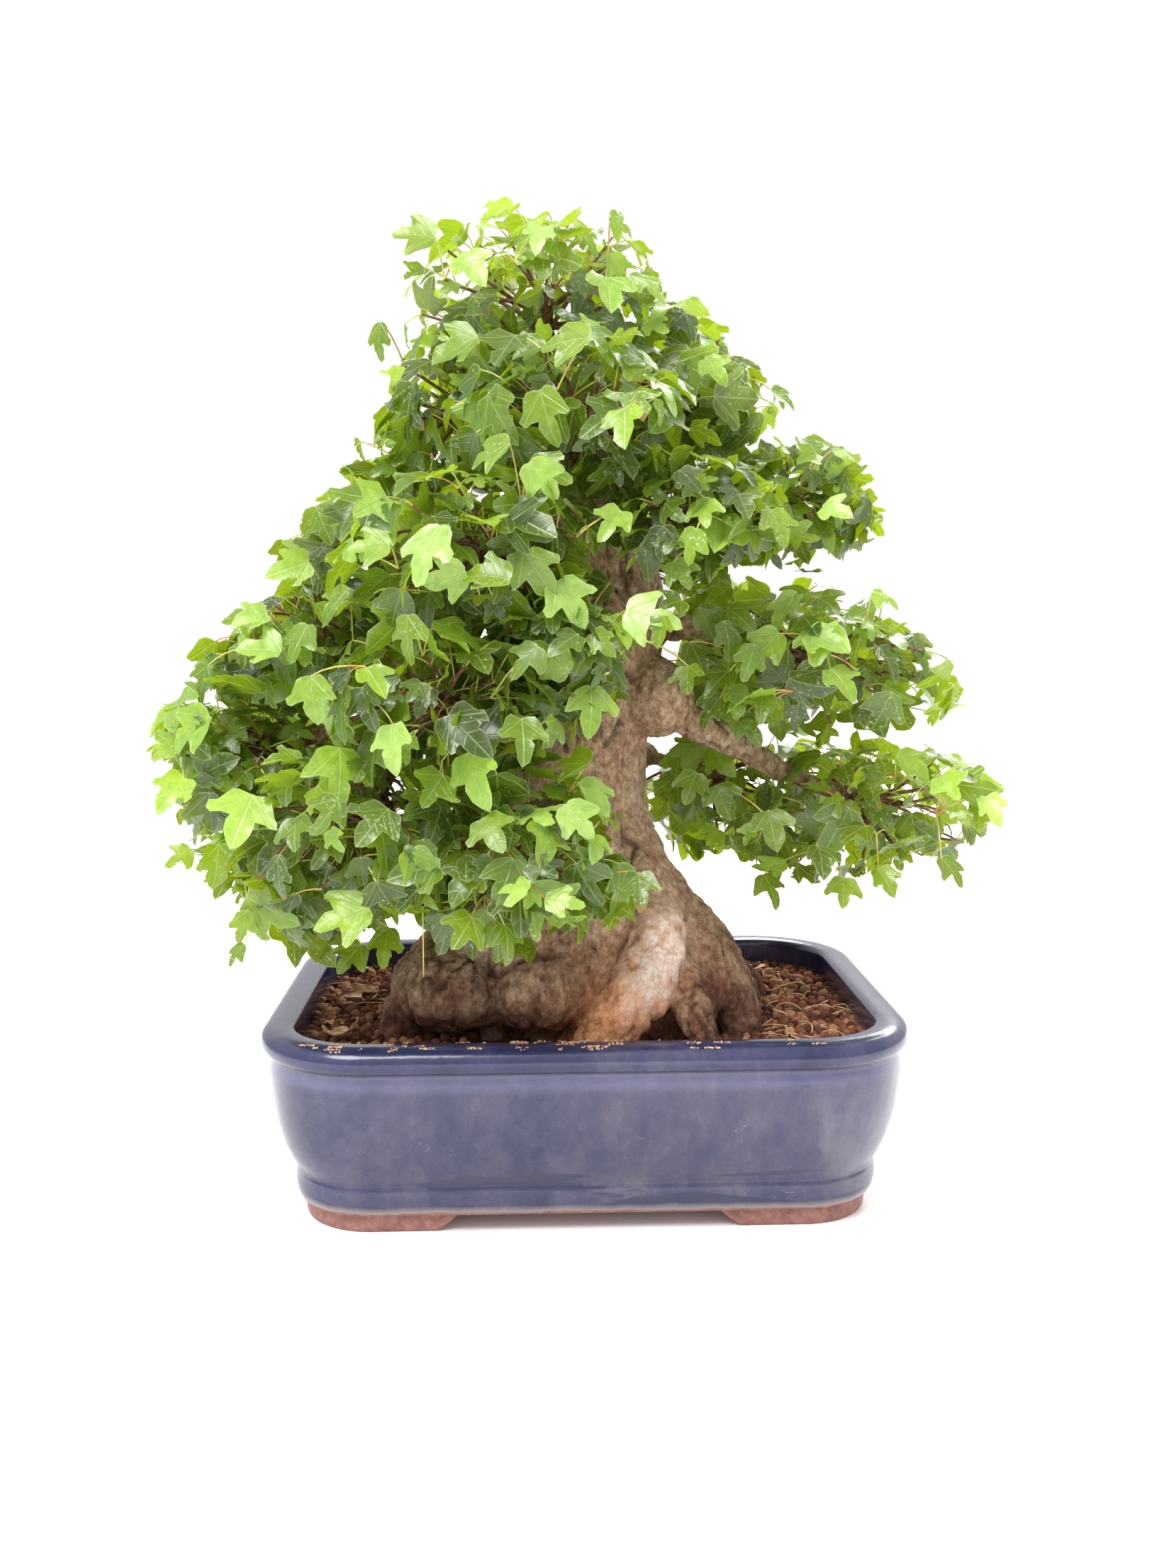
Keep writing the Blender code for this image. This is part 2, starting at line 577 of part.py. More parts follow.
def make_sprays(fixed):
    """The leafy sprays, none of which crosses another or any fixed object."""
    draw = random.Random(SEED)
    leaf_green = ("4E8B3E", "5C9A46", "437C3A", "68A84C")
    bodies = {}
    obstacles = {name: [] for name in SPRAYS}
    solid = [tree_of_object(obj, CLEARANCE) for obj in fixed]
    for name in SPRAYS:
        middle = Vector(SPRAYS[name][0])
        _, _, end, ahead = spray_seat(name)
        standing = solid + [tree for trees in obstacles.values() for tree in trees]
        for share in CORE_SHARES:
            core = core_object("core", middle, [half * share for half in core_sizes(name)], draw)
            if share == CORE_SHARES[-1] or not any(tree_of_object(core).overlap(t) for t in standing):
                break
            bpy.data.objects.remove(core, do_unlink=True)
        stem = tube("stem", [end + ahead * GAP, middle], [BRANCH_TIP_RADIUS * 0.92] * 2, 5)
        obstacles[name] += [tree_of_object(core), tree_of_object(stem)]
        bodies[name] = (core, [stem])
    placed = {name: [] for name in SPRAYS}
    for name, (middle, halves, _, _, wanted) in SPRAYS.items():
        middle = Vector(middle)
        core = core_sizes(name)
        kept = 0
        tries = directions(wanted * 5, draw) * 3
        far = math.hypot(middle.x, middle.y)
        outward = Vector((middle.x, middle.y, 0)) / far
        for way in tries:
            if kept == wanted:
                break
            share = draw.uniform(0.80, 1.0)
            length = draw.uniform(LEAF_MIN, LEAF_MAX)
            out = (way + outward * OUTWARD_LEAN).normalized()
            edge = middle + Vector([w * h for w, h in zip(way, halves)]) * share
            others = (n for n in SPRAYS if n != name)
            buried = any(ellipsoid_share(edge, SPRAYS[n][0], SPRAYS[n][1]) < BURIED for n in others)
            if buried:
                continue
            up = Vector((0, 0, 1))
            jitter = Vector([draw.uniform(-0.45, 0.45) for _ in range(3)])
            facing = out * 0.62 + up * draw.uniform(0.35, 0.8) + jitter
            tip = out * 0.7 - up * draw.uniform(0.25, 0.9) + Vector([draw.uniform(-0.6, 0.6) for _ in range(3)])
            across, along, facing = leaf_frame(facing, tip)
            base = edge - along * (length / 2)
            base_share = ellipsoid_share(base, middle, core)
            root = middle + (base - middle) * (ROOT_SHARE / max(1.0, base_share))
            if base_share < CORE_MARGIN or (root - base).normalized().dot(along) > FOLDED_BACK:
                continue
            points, faces = leaf_shape(base, across, along, facing, length, root, draw.uniform(0.0, 0.22))
            test = tree_of(points, faces, CLEARANCE)
            if any(test.overlap(t) for t in solid):
                continue
            foreign = [t for n in SPRAYS if n != name for t in obstacles[n] + placed[n]]
            if any(test.overlap(t) for t in foreign + placed[name] + obstacles[name][1:]):
                continue
            blade_points = 4 * len(BLADE_HALF) + 6
            blade_faces = [face for face in faces if max(face) < blade_points]
            blade_only = tree_of(points[:blade_points], blade_faces, CLEARANCE)
            if blade_only.overlap(obstacles[name][0]):
                continue
            placed[name].append(test)
            bodies[name][1].append(add_object("leaf", points, faces))
            kept += 1
    for index, (name, (core, parts)) in enumerate(bodies.items()):
        core.name = name
        core.data.materials.append(material("leaf_" + name, leaf_green[index % 4], 0.5))
        combine(core, parts, "UNION")
        core.data.shade_flat()


# Dry leaves on the soil: middle, compass heading in degrees, length
FALLEN_LEAVES = {
    "fallen_leaf_left": ((-0.148, 0.022), 205, 0.026),
    "fallen_leaf_front": ((-0.147, -0.060), 80, 0.022),
    "fallen_leaf_back": ((0.124, 0.080), 25, 0.028),
}


def make_fallen_leaf(name, soil):
    """A curled dry leaf with its stalk, let down until it lies on the soil's lumps."""
    (x, y), heading, length = FALLEN_LEAVES[name]
    turn = math.radians(heading)
    along = Vector((math.cos(turn), math.sin(turn), 0))
    facing = Vector((0, 0, 1))
    above = SOIL_LEVEL + 0.03
    base = Vector((x, y, above)) - along * (length / 2)
    shape = leaf_shape(base, along.cross(facing), along, facing, length, base - along * 0.010, -0.12)
    points, faces = shape
    down = Vector((0, 0, -1))
    ground = tree_of_object(soil)
    blade = tree_of(points, faces)
    drops = [ground.ray_cast(p, down)[3] for p in points]
    drops += [blade.ray_cast(v.co, -down)[3] for v in soil.data.vertices if v.co.z > SOIL_LEVEL - 0.01]
    drop = min(d for d in drops if d is not None) - GAP
    mat = material("dry_leaf_" + name, "A98A5C", 0.8)
    return add_object(name, [p + down * drop for p in points], faces, mat)


def centre_all():
    """Moves every piece by the same step, so that the middle of the whole plant is over the origin."""
    pieces = list(bpy.context.scene.objects)
    points = [vertex.co for piece in pieces for vertex in piece.data.vertices]
    middle = [(min(p[axis] for p in points) + max(p[axis] for p in points)) / 2 for axis in (0, 1)]
    for piece in pieces:
        piece.data.transform(Matrix.Translation((-middle[0], -middle[1], 0)))


clear_scene()
pot = make_pot()
for number, place in enumerate(DRAIN_PLACES, 1):
    make_screen("drain_screen_" + str(number), place)
trunk = make_trunk()
soil = make_soil()
fallen = [make_fallen_leaf(name, soil) for name in FALLEN_LEAVES]
make_sprays([pot, trunk, soil] + fallen)
centre_all()
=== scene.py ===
import json
import math
import random

import bmesh
import bpy
import numpy as np
from mathutils import Matrix, Vector, noise

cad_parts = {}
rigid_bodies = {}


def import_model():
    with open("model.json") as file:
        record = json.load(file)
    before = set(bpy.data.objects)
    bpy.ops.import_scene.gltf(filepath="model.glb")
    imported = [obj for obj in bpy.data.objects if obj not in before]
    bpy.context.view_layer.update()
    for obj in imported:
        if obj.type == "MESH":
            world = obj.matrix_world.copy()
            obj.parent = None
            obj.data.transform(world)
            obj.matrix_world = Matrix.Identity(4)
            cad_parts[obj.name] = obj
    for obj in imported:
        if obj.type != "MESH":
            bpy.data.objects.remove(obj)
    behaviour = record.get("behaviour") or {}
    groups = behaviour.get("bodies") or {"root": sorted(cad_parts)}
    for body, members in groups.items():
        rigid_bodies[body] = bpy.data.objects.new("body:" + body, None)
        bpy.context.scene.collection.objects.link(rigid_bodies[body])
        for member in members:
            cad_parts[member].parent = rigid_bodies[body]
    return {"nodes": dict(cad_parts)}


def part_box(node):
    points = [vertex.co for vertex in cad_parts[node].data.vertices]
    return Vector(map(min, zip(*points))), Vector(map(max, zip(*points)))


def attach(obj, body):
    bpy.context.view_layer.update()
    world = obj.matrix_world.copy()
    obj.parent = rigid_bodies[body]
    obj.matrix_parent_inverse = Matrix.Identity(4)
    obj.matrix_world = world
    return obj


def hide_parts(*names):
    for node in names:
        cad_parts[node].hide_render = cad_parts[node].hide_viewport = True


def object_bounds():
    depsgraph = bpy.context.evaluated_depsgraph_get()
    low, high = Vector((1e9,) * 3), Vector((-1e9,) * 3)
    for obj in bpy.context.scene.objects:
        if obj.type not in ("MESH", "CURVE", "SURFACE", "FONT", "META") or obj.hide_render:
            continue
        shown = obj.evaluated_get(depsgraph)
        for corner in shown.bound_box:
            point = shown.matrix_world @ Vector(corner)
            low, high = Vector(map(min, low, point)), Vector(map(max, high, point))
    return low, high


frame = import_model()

# A trident maple bonsai with a heavy flared trunk in an oblong pot. The solids are made around the
# middle of the whole plant, so every number below that is measured from the pot's middle is moved
# by the place of the pot.
cad_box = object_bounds()
pot_low, pot_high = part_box("pot")
POT_PLACE = Vector(((pot_low.x + pot_high.x) / 2, (pot_low.y + pot_high.y) / 2, 0.0))


# Camera: less than a metre away at the height of the lower crown, looking slightly down on the
# plant from the front. The spread of the foliage is measured in its picture, which is 1659 by 2212
# pixels.
PICTURE = (1659, 2212)
PIXELS_PER_RADIAN = 2100.0
SENSOR_HEIGHT = 36.0
CAMERA_FROM_POT = Vector((-0.0321, -0.9275, 0.355))
# Degrees that the camera looks down, leans and turns to the right
LOOKS_DOWN = 6.98
LEANS = 0.1
TURNS_RIGHT = 2.24
camera_data = bpy.data.cameras.new("camera")
camera_data.sensor_fit = "VERTICAL"
camera_data.sensor_height = SENSOR_HEIGHT
camera_data.lens = SENSOR_HEIGHT * PIXELS_PER_RADIAN / PICTURE[1]
camera_data.clip_end = 30.0
camera = bpy.data.objects.new("camera", camera_data)
camera.location = POT_PLACE + CAMERA_FROM_POT
camera.rotation_euler = (math.radians(90 - LOOKS_DOWN), math.radians(LEANS), math.radians(-TURNS_RIGHT))
bpy.context.scene.collection.objects.link(camera)
bpy.context.scene.camera = camera
bpy.context.view_layer.update()
to_camera = camera.matrix_world.inverted()


def in_picture(point):
    """Where a point that is measured from the pot's middle shows in the camera's picture."""
    seen = to_camera @ (point + POT_PLACE)
    return (
        PICTURE[0] / 2 - seen.x / seen.z * PIXELS_PER_RADIAN,
        PICTURE[1] / 2 + seen.y / seen.z * PIXELS_PER_RADIAN,
    )


# Pot: one piece of stoneware, cast and dipped in a blue glaze with grey bloom and darker runs. The
# rim is a deeper navy, with a pale band under its roll and painted shade in the crease below the roll.
# The feet and the underside show bare red-brown clay, because the glaze is wiped off there.
POT_LENGTH = 0.380
POT_DEPTH = 0.282
CORNER_RADIUS = 0.066
CORNER_STEPS = 18
CORNERS = ((1, 1), (-1, 1), (-1, -1), (1, -1))
CORNER_X = POT_LENGTH / 2 - CORNER_RADIUS
CORNER_Y = POT_DEPTH / 2 - CORNER_RADIUS
RIM_WIDTH = 0.0205
FOOT_HEIGHT = 0.0098
FLOOR_LEVEL = 0.021
# Inset from the rim's outline and height, from the foot ring up and over the rim, then down inside
POT_OUTSIDE = [
    (0.0240, FOOT_HEIGHT), (0.0218, 0.0110), (0.0202, 0.0135), (0.0191, 0.0180), (0.0188, 0.0225),
    (0.0192, 0.0262), (0.0199, 0.0284), (0.0194, 0.0305), (0.0158, 0.0370), (0.0114, 0.0480),
    (0.0072, 0.0640), (0.0050, 0.0800), (0.0044, 0.0900), (0.0054, 0.0966), (0.0048, 0.0983),
    (0.0022, 0.0994), (0.0006, 0.1018), (0.0000, 0.1050), (0.0010, 0.1085), (0.0036, 0.1112),
    (0.0080, 0.1128), (0.0130, 0.1130), (0.0178, 0.1123), (0.0198, 0.1108), (RIM_WIDTH, 0.1085),
]
POT_INSIDE = [
    (RIM_WIDTH, 0.0950), (RIM_WIDTH, 0.0800), (0.0270, 0.0500), (0.0320, 0.0340), (0.0410, FLOOR_LEVEL),
]
FOOT_INSET = 0.0245
FOOT_DEPTH = 0.027
FOOT_REACH = 0.088
# Rows of a foot from the ground up: height, how much further than FOOT_REACH it runs, and its inset
FOOT_ROWS = [
    (0.0, -0.0120, 0.0022), (0.0006, -0.0104, 0.0009), (0.0020, -0.0078, 0.0002),
    (0.0050, -0.0030, 0.0), (0.0128, 0.0066, 0.0),
]
DRAIN_RADIUS = 0.011
DRAIN_PLACES = (-0.075, 0.075)
DRAIN_SIDES = 40
DRAIN_MARGIN = 0.01
DENT_DEPTH = 0.0006
DENTS_PER_METRE = 22
# Heights of the glaze's bands: from, to, and the share of the band's colour below and above them
GLAZE_BANDS = {
    "navy": (0.0975, 0.1005, 0.0, 1.0),
    "pale_low": (0.0860, 0.0950, 0.0, 0.80),
    "pale_top": (0.0965, 0.0985, 1.0, 0.0),
    # The two crease bands place painted shade in the crease under the rim's roll
    "crease_low": (0.0964, 0.0975, 0.0, 0.75),
    "crease_top": (0.0982, 0.0992, 1.0, 0.0),
    "runs": (0.012, 0.055, 0.175, -0.06),
}
# Heights between which the glaze turns to a tan edge, and that edge to bare clay
TAN_EDGE = (0.0112, 0.0152)
CLAY_EDGE = (0.0104, 0.0113)


def clamp(value):
    """The value, kept between 0 and 1."""
    return min(1.0, max(0.0, value))


def spaced(millimetres):
    """Scale of a pattern whose marks lie this many millimetres apart."""
    return 1000 / millimetres


def hex_colour(code):
    """Linear colour of a six-figure sRGB code."""
    channels = [int(code[i : i + 2], 16) / 255 for i in (0, 2, 4)]
    return [c / 12.92 if c <= 0.04045 else ((c + 0.055) / 1.055) ** 2.4 for c in channels] + [1.0]


def add_node(tree, kind, inputs=None, stops=None, **settings):
    """One node of a tree with its settings, its inputs set or linked, and a ramp's stops if it has any.

    A number stands for an input whose name occurs twice or is long: a Mix has its share at 0, its
    values at 2 and 3 and its colours at 6 and 7, and a Map Range goes from 1 and 2 to 3 and 4.
    """
    made = tree.nodes.new(kind)
    for name, value in settings.items():
        setattr(made, name, value)
    for key, value in (inputs or {}).items():
        if isinstance(value, bpy.types.NodeSocket):
            tree.links.new(value, made.inputs[key])
        else:
            made.inputs[key].default_value = value
    for i, (place, code) in enumerate(stops or ()):
        stop = made.color_ramp.elements[i] if i < 2 else made.color_ramp.elements.new(place)
        stop.position = place
        stop.color = hex_colour(code)
    return made


def new_finish(name):
    """A material with its node tree, its shader, and the place of each of its points in metres."""
    made = bpy.data.materials.new(name)
    made.use_nodes = True
    place = add_node(made.node_tree, "ShaderNodeTexCoord").outputs["Object"]
    return made, made.node_tree, made.node_tree.nodes["Principled BSDF"], place


def add_piece(name, points, faces, finish=None):
    """A mesh object with every face turned outward."""
    mesh = bpy.data.meshes.new(name)
    mesh.from_pydata([tuple(p) for p in points], [], faces)
    shape = bmesh.new()
    shape.from_mesh(mesh)
    bmesh.ops.recalc_face_normals(shape, faces=shape.faces)
    shape.to_mesh(mesh)
    shape.free()
    piece = bpy.data.objects.new(name, mesh)
    bpy.context.scene.collection.objects.link(piece)
    if finish:
        mesh.materials.append(finish)
    return piece


def bake_modifiers(piece):
    """Gives the piece the mesh that its modifiers make, and takes them off."""
    graph = bpy.context.evaluated_depsgraph_get()
    made = bpy.data.meshes.new_from_object(
        piece.evaluated_get(graph), preserve_all_data_layers=True, depsgraph=graph
    )
    piece.modifiers.clear()
    piece.data = made


def loft(loops):
    """Points and faces of a closed body through loops of equal length, with a cap at each end."""
    count = len(loops[0])
    points = [p for loop in loops for p in loop]
    faces = [tuple(range(count))[::-1]]
    for row in range(len(loops) - 1):
        for i in range(count):
            a = row * count + i
            b = row * count + (i + 1) % count
            faces.append((a, b, b + count, a + count))
    faces.append(tuple(range((len(loops) - 1) * count, len(loops) * count)))
    return points, faces


def merge(piece, others, operation):
    """One exact Boolean of the piece with each of the others, which are then removed."""
    for other in others:
        cut = piece.modifiers.new("cut", "BOOLEAN")
        cut.operation = operation
        cut.solver = "EXACT"
        cut.object = other
        bake_modifiers(piece)
        bpy.data.objects.remove(other, do_unlink=True)


def rim_outline(inset, z, steps=CORNER_STEPS):
    """The rim's outline moved in by inset: a rectangle with round corners, counterclockwise."""
    radius = CORNER_RADIUS - inset
    points = []
    for corner, (sx, sy) in enumerate(CORNERS):
        for step in range(steps + 1):
            turn = math.radians(90 * (corner + step / steps))
            x = sx * CORNER_X + radius * math.cos(turn)
            y = sy * CORNER_Y + radius * math.sin(turn)
            points.append(POT_PLACE + Vector((x, y, z)))
    return points


def rounded_rows(rows, parts):
    """The rows joined by a curve that passes through each of them."""
    made = []
    for i in range(len(rows) - 1):
        before, a, b, after = (Vector(rows[max(0, min(len(rows) - 1, i + k))]) for k in (-1, 0, 1, 2))
        for k in range(parts):
            t = k / parts
            bend = (b - before) * (t - 2 * t * t + t**3) + (after - a) * (t**3 - t * t)
            made.append(a * (1 - 3 * t * t + 2 * t**3) + b * (3 * t * t - 2 * t**3) + bend * 0.5)
    return made + [Vector(rows[-1])]


def foot_loops(corner):
    """A foot under one corner: a bent bar that follows the corner, its ends sloping up and out."""
    sx, sy = corner
    turns = [math.radians(90 * step / CORNER_STEPS) for step in range(CORNER_STEPS + 1)]
    loops = []
    for z, reach, inset in FOOT_ROWS:
        outer_radius = CORNER_RADIUS - FOOT_INSET - inset
        inner_radius = outer_radius - FOOT_DEPTH + 2 * inset
        straight = FOOT_REACH + reach - outer_radius
        loop = []
        for radius, order in ((outer_radius, 1), (inner_radius, -1)):
            side = [(radius, -straight)]
            side += [(radius * math.cos(t), radius * math.sin(t)) for t in turns]
            side.append((-straight, radius))
            loop += side[::order]
        loops.append([POT_PLACE + Vector((sx * (CORNER_X + x), sy * (CORNER_Y + y), z)) for x, y in loop])
    return loops


def uneven_wall(points):
    """Small dents and swellings of a hand-finished wall, a fraction of a millimetre deep."""
    made = []
    for p in points:
        out = Vector((p.x - POT_PLACE.x, p.y - POT_PLACE.y, 0)).normalized()
        above_foot = clamp((p.z - 0.015) / 0.02)
        made.append(p + out * DENT_DEPTH * noise.noise(p * DENTS_PER_METRE) * above_foot)
    return made


# Blue glaze: a glossy coat over mottled colour, greyer where it lies thin
glaze, tree, shader, place = new_finish("blue_stoneware_glaze")
height = add_node(tree, "ShaderNodeSeparateXYZ", {0: place}).outputs["Z"]
bands = {}
for name, (low, high, below, above) in GLAZE_BANDS.items():
    band = add_node(tree, "ShaderNodeMapRange", {0: height, 1: low, 2: high, 3: below, 4: above})
    bands[name] = band.outputs[0]
clouds = add_node(
    tree, "ShaderNodeTexNoise", {"Vector": place, "Scale": spaced(58.8), "Detail": 5.0, "Roughness": 0.62}
)
brush_place = add_node(
    tree, "ShaderNodeMapping", {"Vector": place, "Scale": (spaced(58.8), spaced(58.8), spaced(125))}
)
brushed = add_node(
    tree, "ShaderNodeTexNoise",
    {"Vector": brush_place.outputs[0], "Scale": 1.0, "Detail": 8.0, "Roughness": 0.70},
)
body = add_node(
    tree, "ShaderNodeValToRGB", {0: brushed.outputs["Fac"]},
    stops=((0.34, "26284C"), (0.66, "696574"), (0.45, "39395C"), (0.54, "4A4762")),
)
bloom_noise = add_node(
    tree, "ShaderNodeTexNoise", {"Vector": place, "Scale": spaced(29.4), "Detail": 8.0, "Roughness": 0.72}
)
bloom = add_node(
    tree, "ShaderNodeValToRGB", {0: bloom_noise.outputs["Fac"]}, stops=((0.52, "000000"), (0.74, "8C8C8C"))
)
bloomed = add_node(
    tree, "ShaderNodeMix", {0: bloom.outputs[0], 6: body.outputs[0], 7: hex_colour("7C7A8C")},
    data_type="RGBA",
)
grit = add_node(
    tree, "ShaderNodeTexNoise", {"Vector": place, "Scale": spaced(1.11), "Detail": 3.0, "Roughness": 0.7}
)
grit_shade = add_node(
    tree, "ShaderNodeValToRGB", {0: grit.outputs["Fac"]}, stops=((0.30, "C4C4C4"), (0.72, "FFFFFF"))
)
speckled = add_node(
    tree, "ShaderNodeMix", {0: 0.70, 6: bloomed.outputs[2], 7: grit_shade.outputs[0]},
    data_type="RGBA", blend_type="MULTIPLY",
)
# Fine pale scuffs, mostly level
scuff_place = add_node(
    tree, "ShaderNodeMapping", {"Vector": place, "Scale": (spaced(11.8), spaced(11.8), spaced(5.88))}
)
scuff_noise = add_node(
    tree, "ShaderNodeTexNoise",
    {"Vector": scuff_place.outputs[0], "Scale": 1.0, "Detail": 5.0, "Distortion": 1.6},
)
scuff_share = add_node(
    tree, "ShaderNodeMapRange", {0: scuff_noise.outputs["Fac"], 1: 0.70, 2: 0.76, 3: 0.0, 4: 0.45}
)
# The navy of the rim, and the band under it that is pale where the glaze has run off
navy = add_node(
    tree, "ShaderNodeValToRGB", {0: brushed.outputs["Fac"]},
    stops=((0.36, "171A3E"), (0.68, "4C4A60"), (0.52, "2A2C50")),
)
pale_band = add_node(
    tree, "ShaderNodeMath", {0: bands["pale_low"], 1: bands["pale_top"]}, operation="MULTIPLY"
)
pale_share = add_node(
    tree, "ShaderNodeMath", {0: pale_band.outputs[0], 1: clouds.outputs["Fac"]}, operation="MULTIPLY"
)
# Painted shade: the crease under the rim's roll is coloured dark
crease_painted_shade = add_node(
    tree, "ShaderNodeMath", {0: bands["crease_low"], 1: bands["crease_top"]}, operation="MULTIPLY"
)
# Dark runs where water has dried along the foot, and a few dark blots higher up
long_place = add_node(
    tree, "ShaderNodeMapping", {"Vector": place, "Scale": (spaced(111), spaced(111), spaced(16.1))}
)
runs = add_node(tree, "ShaderNodeTexNoise", {"Vector": long_place.outputs[0], "Scale": 1.0, "Detail": 4.0})
run_level = add_node(tree, "ShaderNodeMath", {0: runs.outputs["Fac"], 1: bands["runs"]}, operation="ADD")
run_share = add_node(
    tree, "ShaderNodeMapRange", {0: run_level.outputs[0], 1: 0.635, 2: 0.650, 3: 0.0, 4: 0.85}
)
# Bare clay below an uneven line, with a thin tan edge where the glaze stops
edge_noise = add_node(tree, "ShaderNodeTexNoise", {"Vector": place, "Scale": spaced(16.7), "Detail": 4.0})
edge_level = add_node(
    tree, "ShaderNodeMath", {0: edge_noise.outputs["Fac"], 1: -0.0035, 2: height}, operation="MULTIPLY_ADD"
)
tan_share = add_node(
    tree, "ShaderNodeMapRange", {0: edge_level.outputs[0], 1: TAN_EDGE[0], 2: TAN_EDGE[1], 3: 0.75, 4: 0.0}
)
bare = add_node(
    tree, "ShaderNodeMapRange", {0: edge_level.outputs[0], 1: CLAY_EDGE[0], 2: CLAY_EDGE[1], 3: 1.0, 4: 0.0}
)
clay_noise = add_node(
    tree, "ShaderNodeTexNoise", {"Vector": place, "Scale": spaced(6.25), "Detail": 6.0, "Roughness": 0.7}
)
clay = add_node(
    tree, "ShaderNodeValToRGB", {0: clay_noise.outputs["Fac"]},
    stops=((0.30, "6E4740"), (0.72, "A57A70"), (0.50, "8C5F56")),
)
colour = speckled.outputs[2]
for share, coat in (
    (scuff_share.outputs[0], hex_colour("A3A2B4")), (bands["navy"], navy.outputs[0]),
    (pale_share.outputs[0], hex_colour("75769A")), (crease_painted_shade.outputs[0], hex_colour("2B2530")),
    (run_share.outputs[0], hex_colour("262848")), (tan_share.outputs[0], hex_colour("9C928C")),
    (bare.outputs[0], clay.outputs[0]),
):
    coated = add_node(tree, "ShaderNodeMix", {0: share, 6: colour, 7: coat}, data_type="RGBA")
    colour = coated.outputs[2]
tree.links.new(colour, shader.inputs["Base Color"])
# The glaze shines, a little less under its bloom, and the clay is dull and grainy
gloss = add_node(
    tree, "ShaderNodeMapRange", {0: bloom_noise.outputs["Fac"], 1: 0.35, 2: 0.7, 3: 0.20, 4: 0.36}
)
rim_gloss = add_node(
    tree, "ShaderNodeMix", {0: bands["navy"], 2: gloss.outputs[0], 3: 0.22}, data_type="FLOAT"
)
rough = add_node(
    tree, "ShaderNodeMix", {0: bare.outputs[0], 2: rim_gloss.outputs[0], 3: 0.85}, data_type="FLOAT"
)
tree.links.new(rough.outputs[0], shader.inputs["Roughness"])
shader.inputs["IOR"].default_value = 1.5
shader.inputs["Coat Weight"].default_value = 0.28
shader.inputs["Coat Roughness"].default_value = 0.16
wave = add_node(tree, "ShaderNodeTexNoise", {"Vector": place, "Scale": spaced(8.33), "Detail": 3.0})
bump_height = add_node(
    tree, "ShaderNodeMix", {0: bare.outputs[0], 2: wave.outputs["Fac"], 3: clay_noise.outputs["Fac"]},
    data_type="FLOAT",
)
relief = add_node(
    tree, "ShaderNodeBump", {"Strength": 0.20, "Distance": 0.0012, "Height": bump_height.outputs[0]}
)
tree.links.new(relief.outputs[0], shader.inputs["Normal"])

pot_rows = rounded_rows(POT_OUTSIDE, 3) + rounded_rows(POT_INSIDE, 3)
pot_loops = [uneven_wall(rim_outline(row[0], row[1])) for row in pot_rows]
pot = add_piece("pot_body", *loft(pot_loops), glaze)
merge(pot, [add_piece("foot", *loft(foot_loops(c))) for c in CORNERS], "UNION")
drains = []
turns = [math.tau * i / DRAIN_SIDES for i in range(DRAIN_SIDES)]
for x in DRAIN_PLACES:
    rings = []
    for z in (-DRAIN_MARGIN, FLOOR_LEVEL + DRAIN_MARGIN):
        spots = [Vector((x + DRAIN_RADIUS * math.cos(t), DRAIN_RADIUS * math.sin(t), z)) for t in turns]
        rings.append([POT_PLACE + spot for spot in spots])
    drains.append(add_piece("drain", *loft(rings)))
merge(pot, drains, "DIFFERENCE")
pot.data.shade_smooth()
pot.data.set_sharp_from_angle(angle=math.radians(38))
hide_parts("pot")
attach(pot, "root")


# Drain nets: two squares of moulded black plastic over the holes, made whole as the solids are, so
# they only get their finish: a matt black with the fine grain of the mould.
def grained_finish(name, millimetres, detail, stops, roughness, relief=None, grain_mix=0.5):
    """A finish whose colour, and relief of a strength and depth, follow one grain of this size."""
    made, tree, shader, place = new_finish(name)
    grain = add_node(
        tree, "ShaderNodeTexNoise",
        {"Vector": place, "Scale": spaced(millimetres), "Detail": detail, "Roughness": grain_mix},
    ).outputs["Fac"]
    colour = add_node(tree, "ShaderNodeValToRGB", {0: grain}, stops=stops)
    tree.links.new(colour.outputs[0], shader.inputs["Base Color"])
    shader.inputs["Roughness"].default_value = roughness
    if relief:
        bump = add_node(
            tree, "ShaderNodeBump", {"Strength": relief[0], "Distance": relief[1], "Height": grain}
        )
        tree.links.new(bump.outputs[0], shader.inputs["Normal"])
    return made


net_plastic = grained_finish(
    "moulded_black_polyethylene", 1.43, 3.0, ((0.35, "171817"), (0.70, "2B2C2A")), 0.55,
    relief=(0.3, 0.0003),
)
for name in ("drain_screen_1", "drain_screen_2"):
    net = frame["nodes"][name]
    net.data.materials.clear()
    net.data.materials.append(net_plastic)


# Wood: surface roots, trunk, boughs and branches, which grew as one piece. The grey-brown bark is
# fissured and flaking, redder near the soil, and worn smooth and pale on the front root.
ROOT_BOTTOM = 0.070
ROOT_TOP = 0.103
TRUNK_TOP = 0.4885
TRUNK_STEP = 0.002
TRUNK_SIDES = 180
FLARE_X, FLARE_Y, FLARE_RADIUS, FLARE_REACH = -0.008, -0.014, 0.068, 0.040
